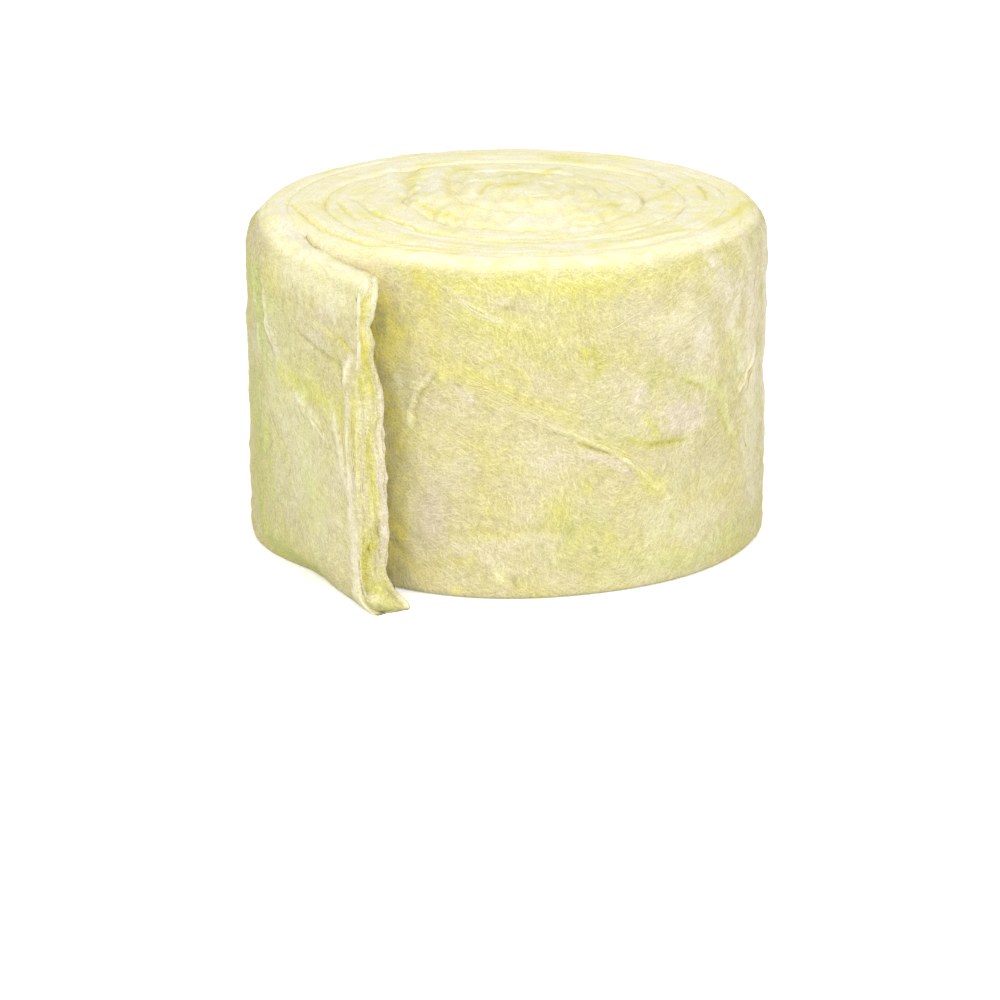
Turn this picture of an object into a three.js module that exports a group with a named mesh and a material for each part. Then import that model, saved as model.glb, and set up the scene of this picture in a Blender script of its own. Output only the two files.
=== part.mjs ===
// A roll of glass-wool wrap insulation, standing on its end with the outer end of the
// blanket hanging loose.
//
// The roll is one blanket wound on itself without a tube. Seen from above it is a spiral
// that opens counter-clockwise: each turn is one blanket thick and leans on the turn
// inside it, so neighbouring turns share the seam between them. Past the last point of
// contact the blanket swings out on a wider curve, and a wedge of air opens behind it.
//
// The solid is lofted along the spiral. A station is one radial cut through the blanket:
// an edge of points across its top, an edge across its foot, and a column down each face
// that is bare. Edges run from the blanket's inner face to its outer face. Lengths are
// millimetres, +Z is up, and the origin is on the winding axis at the floor.

import * as THREE from 'three';
import { mergeVertices } from 'three/addons/utils/BufferGeometryUtils.js';

// ---------------------------------------------------------------- driving dimensions

const BLANKET_WIDTH = 305; // height of the roll, a 12 inch wide strip
const BLANKET_THICKNESS = 38; // one turn of the spiral, a 1.5 inch blanket
const ROLL_RADIUS = 250; // axis to outer face, where the loose end leaves the roll
const LIFT_OFF_ANGLE = 207.5; // degrees counter-clockwise from +X to that place

const FREE_END_LENGTH = 154; // loose blanket past the lift-off
const FREE_END_BEND_RADIUS = 700; // of its outer face
const FREE_END_THICKNESS = 31; // at the cut end, which has lost some loft
const FREE_END_LEAN = 8; // how much less far the top of the cut end reaches
const FOOT_FLARE = 20; // how much further its foot splays out on the floor
const FOOT_FLARE_HEIGHT = 45;
const FOOT_FLARE_ONSET = 4; // the higher, the more of the splay is at the cut end

const SPRING_BACK = 8; // swelling of the bare turn beside the loose end
const SPRING_BACK_ANGLE = 90; // degrees of the turn that it takes up

const CORE_RISE = 14; // innermost turns stand this much proud of the outer ones
const CORE_RISE_RADIUS = 130; // and blend into them at this radius
const CORE_START_RADIUS = 12; // where the inner end of the blanket is tucked in

// A corner is a quarter ellipse: how far it reaches in from the face, and how deep.
const SEAM_CORNER = { width: 12, depth: 6 }; // top edge where turns meet
const SHOULDER_CORNER = { width: 25, depth: 36 }; // top edge of the outer face
const FREE_INNER_CORNER = { width: 12, depth: 13 }; // top edge behind the loose end
const FOOT_SEAM_CORNER = { width: 8, depth: 4 }; // the same edges at the floor
const FOOT_OUTER_CORNER = { width: 5, depth: 5 };

const SHOULDER_GROWTH_ANGLE = 50; // degrees in which a seam opens into a full shoulder

// Fineness of the loft.
const STEPS_PER_TURN = 48;
const FREE_END_STEPS = 14;
const COLUMN_STEPS = 6;
const COLUMN_CROWDING = 1.6; // 1 spaces a column evenly, more crowds it at the floor
const TOP_CORNER_STEPS = 3;
const FOOT_CORNER_STEPS = 2;

// ------------------------------------------------------------------- winding layout

const { clamp, degToRad, lerp, smoothstep } = THREE.MathUtils;

const stepAngle = (2 * Math.PI) / STEPS_PER_TURN;
const growthPerStep = BLANKET_THICKNESS / STEPS_PER_TURN;
const liftOffAngle = degToRad(LIFT_OFF_ANGLE);

// Stations are counted so that the lift-off falls on one, and the steps below the first
// station would lie inside the tucked-in start.
const liftOffStep = Math.floor(ROLL_RADIUS / growthPerStep);
const firstStep = liftOffStep - Math.floor((ROLL_RADIUS - CORE_START_RADIUS) / growthPerStep);
const lastStep = liftOffStep + FREE_END_STEPS;
const firstBareStep = liftOffStep - STEPS_PER_TURN; // outer face is bare from here on

const freeEndCentre = new THREE.Vector2(
  (ROLL_RADIUS - FREE_END_BEND_RADIUS) * Math.cos(liftOffAngle),
  (ROLL_RADIUS - FREE_END_BEND_RADIUS) * Math.sin(liftOffAngle),
);

// Beside the loose end nothing holds the turn down, and it swells a little.
function springBack(step) {
  const share = ((step - firstBareStep) * stepAngle) / degToRad(SPRING_BACK_ANGLE);
  return SPRING_BACK * Math.sin(Math.PI * clamp(share, 0, 1)) ** 2;
}

const outerRadius = (step) =>
  ROLL_RADIUS - (liftOffStep - step) * growthPerStep + springBack(step);

function innerRadius(step) {
  const stepBelow = step - STEPS_PER_TURN;
  return stepBelow < firstStep ? 0 : outerRadius(stepBelow);
}

const freeShare = (step) => Math.max(0, step - liftOffStep) / FREE_END_STEPS;

function thicknessAt(step) {
  if (step <= liftOffStep) return outerRadius(step) - innerRadius(step);
  return lerp(BLANKET_THICKNESS, FREE_END_THICKNESS, freeShare(step));
}

// Distance along the loose end, from the lift-off to a station, at height z.
function freeReach(step, z) {
  const share = freeShare(step);
  const lean = (FREE_END_LEAN * z) / BLANKET_WIDTH;
  const flare = FOOT_FLARE * Math.max(0, 1 - z / FOOT_FLARE_HEIGHT) ** 2;
  return share * (FREE_END_LENGTH - lean) + share ** FOOT_FLARE_ONSET * flare;
}

// Place of a point `across` millimetres out from the blanket's inner face, at height z.
function place(step, { across, z }) {
  const loose = step > liftOffStep;
  const angle = loose
    ? liftOffAngle + freeReach(step, z) / FREE_END_BEND_RADIUS
    : liftOffAngle - (liftOffStep - step) * stepAngle;
  const faceRadius = loose ? FREE_END_BEND_RADIUS - thicknessAt(step) : innerRadius(step);
  const centre = loose ? freeEndCentre : { x: 0, y: 0 };
  const radius = faceRadius + across;
  return new THREE.Vector3(
    centre.x + radius * Math.cos(angle),
    centre.y + radius * Math.sin(angle),
    z,
  );
}

// ------------------------------------------------------------- section of the blanket

const crownHeight = (radius) =>
  BLANKET_WIDTH + CORE_RISE * (1 - smoothstep(radius, 0, CORE_RISE_RADIUS));

const mixCorners = (a, b, share) => ({
  width: lerp(a.width, b.width, share),
  depth: lerp(a.depth, b.depth, share),
});

// A corner shrinks with the room it has: the distance from its seam to the axis, and the
// thickness of the blanket.
function fitCorner(corner, seamRadius, thickness) {
  const share = Math.min(1, seamRadius / BLANKET_THICKNESS, thickness / BLANKET_THICKNESS);
  return { width: corner.width * share, depth: corner.depth * share };
}

// How far the outer face has opened from a seam into a bare shoulder, 0 to 1.
function bareShare(step) {
  const growthSteps = degToRad(SHOULDER_GROWTH_ANGLE) / stepAngle;
  return smoothstep(step, firstBareStep, firstBareStep + growthSteps);
}

// The two corners of the top edge (or the foot) at a station.
function cornersAt(step, seam, outer, freeInner) {
  const thickness = thicknessAt(step);
  const innerCorner = mixCorners(seam, freeInner, freeShare(step));
  const outerCorner = mixCorners(seam, outer, bareShare(step));
  return {
    inner: fitCorner(innerCorner, innerRadius(step), thickness),
    outer: fitCorner(outerCorner, outerRadius(step), thickness),
  };
}

// Offsets across one edge of the blanket: a rounded corner, a flat, a rounded corner.
function edgeProfile(thickness, { inner, outer }, cornerSteps) {
  const turns = Array.from({ length: cornerSteps + 1 }, (_, k) => (k * Math.PI) / 2 / cornerSteps);
  const innerCorner = turns.map((a) => ({
    across: inner.width * (1 - Math.cos(a)),
    drop: inner.depth * (1 - Math.sin(a)),
  }));
  const outerCorner = turns.map((a) => ({
    across: thickness - outer.width * (1 - Math.sin(a)),
    drop: outer.depth * (1 - Math.cos(a)),
  }));
  return [...innerCorner, ...outerCorner];
}

function topEdge(step) {
  const corners = cornersAt(step, SEAM_CORNER, SHOULDER_CORNER, FREE_INNER_CORNER);
  const profile = edgeProfile(thicknessAt(step), corners, TOP_CORNER_STEPS);
  const crownAt = (across) => crownHeight(innerRadius(step) + across);
  return profile.map(({ across, drop }) => ({ across, z: crownAt(across) - drop }));
}

function footEdge(step) {
  const corners = cornersAt(step, FOOT_SEAM_CORNER, FOOT_OUTER_CORNER, FOOT_OUTER_CORNER);
  const profile = edgeProfile(thicknessAt(step), corners, FOOT_CORNER_STEPS);
  return profile.map(({ across, drop }) => ({ across, z: drop }));
}

// Points up one face, from an edge's end at the foot to its end at the top. They are
// closer together near the floor, where the loose end flares.
function faceColumn(low, high) {
  return Array.from({ length: COLUMN_STEPS + 1 }, (_, k) => ({
    across: lerp(low.across, high.across, k / COLUMN_STEPS),
    z: lerp(low.z, high.z, (k / COLUMN_STEPS) ** COLUMN_CROWDING),
  }));
}

// The blanket starts as a single radial line, the edge of its tucked-in end.
function station(step) {
  const top = topEdge(step);
  const foot = footEdge(step);
  const inSpace = (points) => points.map((point) => place(step, point));
  const asLine = (row) => row.map((point, k) => (k === 0 ? point : row.at(-1)));
  const shape = step === firstStep ? asLine : (row) => row;
  return {
    top: shape(inSpace(top)),
    foot: shape(inSpace(foot)),
    innerFace: inSpace(faceColumn(foot[0], top[0])),
    outerFace: inSpace(faceColumn(foot.at(-1), top.at(-1))),
  };
}

// ------------------------------------------------------------------------- the loft

const positions = [];

function triangle(a, b, c) {
  positions.push(...a.toArray(), ...b.toArray(), ...c.toArray());
}

// Skin between two rows with as many points. With `from` running away from the viewer
// and `to` on its left, it faces up at the viewer.
function skin(from, to) {
  for (let k = 0; k + 1 < from.length; k++) {
    triangle(from[k], from[k + 1], to[k + 1]);
    triangle(from[k], to[k + 1], to[k]);
  }
}

function fan(points) {
  for (let k = 1; k + 1 < points.length; k++) triangle(points[0], points[k], points[k + 1]);
}

function loftBlanket() {
  for (let step = firstStep; step < lastStep; step++) {
    const here = station(step);
    const next = station(step + 1);
    skin(here.top, next.top);
    skin(next.foot, here.foot);
    if (step >= firstBareStep) skin(next.outerFace, here.outerFace);
    if (step >= liftOffStep) skin(here.innerFace, next.innerFace);
  }
  const end = station(lastStep);
  skin(end.innerFace, end.outerFace);
  fan(end.top);
  fan(end.foot.toReversed());
}

// Neighbouring turns meet in the same points, and those are merged into shared vertices.
// The collapsed first station leaves triangles with no area, which are dropped.
function closedGeometry() {
  const loose = new THREE.BufferGeometry();
  loose.setAttribute('position', new THREE.Float32BufferAttribute(positions, 3));
  const merged = mergeVertices(loose, 1e-3);
  const index = merged.getIndex().array;
  const kept = [];
  for (let i = 0; i < index.length; i += 3) {
    const [a, b, c] = index.slice(i, i + 3);
    if (a !== b && b !== c && c !== a) kept.push(a, b, c);
  }
  merged.setIndex(kept);
  merged.computeVertexNormals();
  return merged;
}

// --------------------------------------------------------------------------- the part

loftBlanket();

const glassWool = new THREE.MeshStandardMaterial({
  name: 'yellow glass wool',
  color: new THREE.Color(0.93, 0.9, 0.62),
  roughness: 1,
  metalness: 0,
});

const blanket = new THREE.Mesh(closedGeometry(), glassWool);
blanket.name = 'glass_wool_blanket';

const roll = new THREE.Group();
roll.name = 'insulation_roll';
roll.add(blanket);

export default roll;
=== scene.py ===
"""Finish of the insulation roll: torn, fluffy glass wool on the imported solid's own winding.

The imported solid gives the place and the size. Here the same blanket is wound again with a
fine skin, which is roughened as torn wool, and loose fibres are laid on that skin. Lengths
are metres. A height is above the floor, and a bearing is in degrees counter-clockwise from
+X, seen from above. The outer turn of the winding runs from the bearing -152.5, where it
comes out from under the loose end, to 207.5, where the loose end lifts off.
"""

import math
from types import SimpleNamespace

import bmesh
import bpy
import numpy as np
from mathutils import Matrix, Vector, noise


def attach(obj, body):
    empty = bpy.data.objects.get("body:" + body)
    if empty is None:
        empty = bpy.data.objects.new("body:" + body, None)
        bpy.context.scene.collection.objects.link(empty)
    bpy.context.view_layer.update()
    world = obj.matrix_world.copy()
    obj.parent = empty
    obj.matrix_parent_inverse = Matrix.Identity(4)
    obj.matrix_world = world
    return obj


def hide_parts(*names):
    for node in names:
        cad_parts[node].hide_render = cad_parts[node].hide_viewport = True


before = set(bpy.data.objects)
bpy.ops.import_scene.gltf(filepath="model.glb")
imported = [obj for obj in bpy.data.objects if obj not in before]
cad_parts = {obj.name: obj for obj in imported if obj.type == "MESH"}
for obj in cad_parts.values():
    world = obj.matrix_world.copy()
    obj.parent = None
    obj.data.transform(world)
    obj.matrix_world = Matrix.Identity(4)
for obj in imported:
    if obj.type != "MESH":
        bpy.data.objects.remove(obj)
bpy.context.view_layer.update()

NODE = "glass_wool_blanket"
BODY = "root"
MM = 0.001

# ------------------------------------------------------------ the blanket as it is wound

WIDTH = 305 * MM
THICKNESS = 38 * MM
ROLL_RADIUS = 250 * MM
LIFT_OFF = math.radians(207.5)

LOOSE_LENGTH = 154 * MM
LOOSE_BEND_RADIUS = 700 * MM
LOOSE_THICKNESS = 31 * MM
LOOSE_LEAN = 8 * MM
FOOT_FLARE = 30 * MM
FOOT_FLARE_HEIGHT = 45 * MM
FOOT_FLARE_CURVE = 2.6
FOOT_FLARE_ONSET = 4

SPRING_BACK = 8 * MM
SPRING_BACK_ANGLE = math.radians(90)

CORE_RISE = 14 * MM
CORE_RISE_RADIUS = 130 * MM
CORE_START_RADIUS = 12 * MM

# Rounded edges: how far one reaches in from the face, and how deep.
SEAM_EDGE = np.array([8, 3.6]) * MM
SHOULDER_EDGE = np.array([25, 36]) * MM
LOOSE_INNER_EDGE = np.array([12, 13]) * MM
FOOT_SEAM_EDGE = np.array([8, 4]) * MM
FOOT_EDGE = np.array([5, 5]) * MM
SHOULDER_GROWTH = math.radians(32)
LOOSE_EDGE_GROWTH = 0.5

# A seam is tighter in some places than in others, and shallower at the core.
SEAM_TIGHTEST = 0.1
SEAM_USUAL = 0.5
SEAM_UNEVENNESS = 1.5
SEAM_WANDER = 2.2
SEAM_CORE_SHARE = 0.35
SEAM_CORE_RADII = (40 * MM, 110 * MM)

# Fineness of the skin. The rows across the top crowd a little towards its seams.
TURN_STEPS = 384
LOOSE_STEPS = 44
COLUMN_STEPS = 96
FOOT_STEPS = 2
TOP_STEPS = 13
TOP_CROWDED = (1 - np.cos(np.linspace(0, math.pi, TOP_STEPS + 1))) / 2
TOP_SPREAD = 0.5 * TOP_CROWDED + 0.5 * np.linspace(0, 1, TOP_STEPS + 1)

STEP_ANGLE = 2 * math.pi / TURN_STEPS
STEP_GROWTH = THICKNESS / TURN_STEPS
LIFT_STEP = int(ROLL_RADIUS / STEP_GROWTH)
FIRST_STEP = LIFT_STEP - int((ROLL_RADIUS - CORE_START_RADIUS) / STEP_GROWTH)
BARE_STEP = LIFT_STEP - TURN_STEPS
LAST_STEP = LIFT_STEP + LOOSE_STEPS
WELD = 0.01 * MM

LIFT_DIRECTION = np.array([math.cos(LIFT_OFF), math.sin(LIFT_OFF)])
LOOSE_CENTRE = (ROLL_RADIUS - LOOSE_BEND_RADIUS) * LIFT_DIRECTION

# How far the torn end stops short of (or runs past) a straight cut, as (height, reach) in mm.
# One list is for its outer face, the other for the face towards the roll.
TORN_OUTER = MM * np.array(
    [(0, -4), (3, -8), (6, -12), (9, -13), (12, -11.5), (16, -8.5), (20, -6), (24, -4), (30, -2)]
    + [(60, 0), (120, -3), (200, -1), (230, 3), (270, 5), (290, 4), (305, 1)]
)
TORN_INNER = MM * np.array(
    [(0, 3.5), (7, 6), (13, 2), (16, -4), (24, -7), (34, -3.5), (54, 0), (79, -1), (147, -3)]
    + [(192, -3), (204, -9), (211, -13), (218, -16), (226, -13), (236, -11), (244, -13)]
    + [(252, -18), (260, -11), (272, -6), (305, -3)]
)


def smooth(value, low=0.0, high=1.0):
    """0 below low, 1 above high, and an even swing between them."""
    t = np.clip((np.asarray(value, float) - low) / (high - low), 0, 1)
    return t * t * (3 - 2 * t)


def fade(value, low, high):
    """1 below low, 0 above high, and an even swing between them."""
    return 1 - smooth(value, low, high)


def outer_radius(step):
    share = (step - BARE_STEP) * STEP_ANGLE / SPRING_BACK_ANGLE
    swell = SPRING_BACK * math.sin(math.pi * min(max(share, 0), 1)) ** 2
    return ROLL_RADIUS - (LIFT_STEP - step) * STEP_GROWTH + swell


def inner_radius(step):
    below = step - TURN_STEPS
    return 0.0 if below < FIRST_STEP else outer_radius(below)


def loose_share(step):
    return max(0, step - LIFT_STEP) / LOOSE_STEPS


def thickness_at(step):
    if step <= LIFT_STEP:
        return outer_radius(step) - inner_radius(step)
    return THICKNESS + (LOOSE_THICKNESS - THICKNESS) * loose_share(step)


def loose_reach(step, across, z):
    """Distance along the loose end, from the lift-off to a station."""
    share = loose_share(step)
    flare = FOOT_FLARE * np.maximum(0, 1 - z / FOOT_FLARE_HEIGHT) ** FOOT_FLARE_CURVE
    towards_outside = across / thickness_at(step)
    torn_outer = np.interp(z, *TORN_OUTER.T)
    torn_inner = np.interp(z, *TORN_INNER.T)
    torn = torn_inner + (torn_outer - torn_inner) * towards_outside
    straight = share * (LOOSE_LENGTH - LOOSE_LEAN * z / WIDTH)
    return straight + share**FOOT_FLARE_ONSET * (flare + torn)


def place(step, section):
    """Points of a section (across the blanket, height) in space."""
    across, z = section.T
    if step > LIFT_STEP:
        angle = LIFT_OFF + loose_reach(step, across, z) / LOOSE_BEND_RADIUS
        radius = LOOSE_BEND_RADIUS - thickness_at(step) + across
        x, y = LOOSE_CENTRE
    else:
        angle = np.full(len(across), LIFT_OFF - (LIFT_STEP - step) * STEP_ANGLE)
        radius = inner_radius(step) + across
        x, y = 0.0, 0.0
    return np.column_stack([x + radius * np.cos(angle), y + radius * np.sin(angle), z])


def crown(radius):
    return WIDTH + CORE_RISE * fade(radius, 0, CORE_RISE_RADIUS)


def seam_edge(step):
    """Edge of the seam on the outer face of a step."""
    angle = step * STEP_ANGLE
    radius = outer_radius(step)
    spot = (SEAM_WANDER * math.cos(angle), SEAM_WANDER * math.sin(angle), radius / THICKNESS)
    openness = max(SEAM_TIGHTEST, SEAM_USUAL + SEAM_UNEVENNESS * noise.noise(Vector(spot)))
    beyond_core = float(smooth(radius, *SEAM_CORE_RADII))
    return SEAM_EDGE * openness * (SEAM_CORE_SHARE + (1 - SEAM_CORE_SHARE) * beyond_core)


def fit(edge, seam_radius, thickness):
    return edge * min(1, seam_radius / THICKNESS, thickness / THICKNESS)


def rounded(edge, start, stop, fullness, count=10):
    """An edge from its flat side (0) to its face (1): distance in from the face, and drop.

    A full one is a quarter-round, and the others fall more and more as one side of a valley.
    """
    turn = np.linspace(start, stop, count) * math.pi / 2
    quarter, valley = 1 - np.cos(turn), np.sin(turn) ** 2
    drop = quarter * fullness + valley * (1 - fullness)
    return np.column_stack([edge[0] * (1 - np.sin(turn)), edge[1] * drop])


def resample(line, spread):
    """Points along a line at these shares of its length."""
    gaps = np.linalg.norm(np.diff(line, axis=0), axis=1)
    reach = np.concatenate([[0], np.cumsum(gaps)])
    reach /= reach[-1]
    return np.column_stack([np.interp(spread, reach, line[:, k]) for k in range(2)])


def cuts(step):
    """One radial cut: rows across its top and foot, and a column down each face."""
    thickness = thickness_at(step)
    inner, outer = inner_radius(step), outer_radius(step)
    bare = float(smooth(step, BARE_STEP, BARE_STEP + SHOULDER_GROWTH / STEP_ANGLE))
    loose = loose_share(step)
    seam_in, seam_out = seam_edge(step - TURN_STEPS), seam_edge(step)
    top_in = fit(seam_in + (LOOSE_INNER_EDGE - seam_in) * loose, inner, thickness)
    top_out = fit(seam_out + (SHOULDER_EDGE - seam_out) * bare, outer, thickness)
    foot_in = fit(FOOT_SEAM_EDGE + (FOOT_EDGE - FOOT_SEAM_EDGE) * loose, inner, thickness)
    foot_out = fit(FOOT_SEAM_EDGE + (FOOT_EDGE - FOOT_SEAM_EDGE) * bare, outer, thickness)

    def from_inside(edge, start, stop):
        return rounded(edge, start, stop, loose)

    def from_outside(edge, start, stop):
        return rounded(edge, start, stop, bare) * (-1, 1) + (thickness, 0)

    def at_top(points):
        radius = inner + points[:, 0]
        return np.column_stack([points[:, 0], crown(radius) - points[:, 1]])

    split_in, split_out = float(fade(loose, 0, LOOSE_EDGE_GROWTH)), 1 - bare
    top = at_top(np.vstack([from_inside(top_in, split_in, 0), from_outside(top_out, 0, split_out)]))
    foot = np.vstack([from_inside(foot_in, split_in, 0), from_outside(foot_out, 0, split_out)])
    outer_foot, inner_foot = from_outside(foot_out, split_out, 1), from_inside(foot_in, split_in, 1)
    outer_top, inner_top = from_outside(top_out, 1, split_out), from_inside(top_in, 1, split_in)
    even = np.linspace(0, 1, COLUMN_STEPS + 1)
    rows = {
        "top": resample(top, TOP_SPREAD),
        "foot": resample(foot, np.linspace(0, 1, FOOT_STEPS + 1)),
        "outer": resample(np.vstack([outer_foot, at_top(outer_top)]), even),
        "inner": resample(np.vstack([inner_foot, at_top(inner_top)]), even),
    }
    return {name: place(step, section) for name, section in rows.items()}


# ------------------------------------------------------------------- the skin as a mesh


def strip_place(step):
    """Distance along the strip from the lift-off, at mid-thickness."""
    if step > LIFT_STEP:
        return LOOSE_LENGTH * loose_share(step)
    turns = (LIFT_STEP - step) / TURN_STEPS
    return -2 * math.pi * turns * (ROLL_RADIUS - THICKNESS * (1 + turns) / 2)


class Skin:
    """Collects rows of points, with the step and the place on the unrolled strip of each."""

    def __init__(self):
        self.points, self.places, self.faces = [], [], []

    def row(self, points, step, girth, beyond=0.0):
        first = len(self.points)
        self.points.extend(map(tuple, points))
        along = strip_place(step) + beyond
        self.places.extend((step, along, g) for g in girth)
        return list(range(first, first + len(points)))

    def join(self, start, stop):
        """Faces between two rows, facing a viewer who sees start run away and stop on its left."""
        for k in range(len(start) - 1):
            self.faces.append((start[k], start[k + 1], stop[k + 1], stop[k]))


def wind_skin():
    """The closed skin of the whole blanket, in rows from the core to the torn end."""
    skin = Skin()
    seen_from = {"top": FIRST_STEP, "foot": FIRST_STEP, "outer": BARE_STEP, "inner": LIFT_STEP}
    before = {}
    for step in range(FIRST_STEP, LAST_STEP + 1):
        cut = cuts(step)
        if step == FIRST_STEP:
            cut["top"][1:] = cut["top"][-1]
            cut["foot"][1:] = cut["foot"][-1]
        girth = {
            "top": WIDTH + np.linalg.norm(cut["top"] - cut["top"][-1], axis=1),
            "foot": -np.linalg.norm(cut["foot"] - cut["foot"][-1], axis=1),
            "outer": cut["outer"][:, 2],
            "inner": cut["inner"][:, 2],
        }
        seen = [name for name in cut if step >= seen_from[name]]
        rows = {name: skin.row(cut[name], step, girth[name]) for name in seen}
        for name in before:
            leftwards = name in ("top", "inner")
            pair = (before[name], rows[name]) if leftwards else (rows[name], before[name])
            skin.join(*pair)
        before = rows
    close_torn_end(skin, cut, before)
    return skin


def close_torn_end(skin, cut, rows):
    """The torn end of the strip, in columns from its face towards the roll to its outer face."""
    columns = [rows["inner"][1:]]
    for share, top_point in list(zip(TOP_SPREAD, rows["top"]))[1:-1]:
        line = (cut["inner"] + (cut["outer"] - cut["inner"]) * share)[1:-1]
        beyond = (1 - share) * LOOSE_THICKNESS
        columns.append(skin.row(line, LAST_STEP, line[:, 2], beyond) + [top_point])
    columns.append(rows["outer"][1:])
    for start, stop in zip(columns, columns[1:]):
        skin.join(start, stop)
    skin.faces.append((rows["foot"][0], *(c[0] for c in columns), *reversed(rows["foot"][1:])))


def unroll(mesh, places):
    """A UV map from the place of each point on the unrolled strip."""
    corners = np.zeros(len(mesh.loops), np.int32)
    mesh.loops.foreach_get("vertex_index", corners)
    unrolled = mesh.uv_layers.new(name="unrolled")
    unrolled.uv.foreach_set("vector", np.float32(places)[corners].ravel())


def as_mesh(name, skin):
    """One closed mesh: neighbouring turns share the seam between them."""
    mesh = bpy.data.meshes.new(name)
    mesh.from_pydata(skin.points, [], skin.faces)
    places = np.array(skin.places)
    for k, kind in enumerate(("step", "along", "girth")):
        write(mesh, kind, places[:, k])
    unroll(mesh, places[:, 1:])
    bm = bmesh.new()
    bm.from_mesh(mesh)
    bmesh.ops.remove_doubles(bm, verts=bm.verts, dist=WELD)
    bmesh.ops.dissolve_degenerate(bm, edges=bm.edges, dist=WELD)
    bm.to_mesh(mesh)
    bm.free()
    mesh.shade_smooth()
    return mesh


def read(mesh, kind):
    """A point attribute, or the places (co) or normals (normal) of the points, as an array."""
    if kind in ("co", "normal"):
        source = mesh.vertices if kind == "co" else mesh.vertex_normals
        values = np.zeros(len(mesh.vertices) * 3, np.float32)
        source.foreach_get("co" if kind == "co" else "vector", values)
        return values.reshape(-1, 3).astype(float)
    values = np.zeros(len(mesh.vertices), np.float32)
    mesh.attributes[kind].data.foreach_get("value", values)
    return values.astype(float)


def write(mesh, kind, values):
    values = np.float32(values)
    flat = values.ndim == 1
    attribute = mesh.attributes.new(kind, "FLOAT" if flat else "FLOAT_VECTOR", "POINT")
    attribute.data.foreach_set("value" if flat else "vector", values.ravel())


def bearing_of(step, loose_radius):
    """The bearing of a step in radians, with the loose end bent to this radius."""
    on_roll = LIFT_OFF - (LIFT_STEP - step) * STEP_ANGLE
    beyond = LIFT_OFF + np.maximum(0, step - LIFT_STEP) / LOOSE_STEPS * LOOSE_LENGTH / loose_radius
    return np.where(step > LIFT_STEP, beyond, on_roll)
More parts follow.
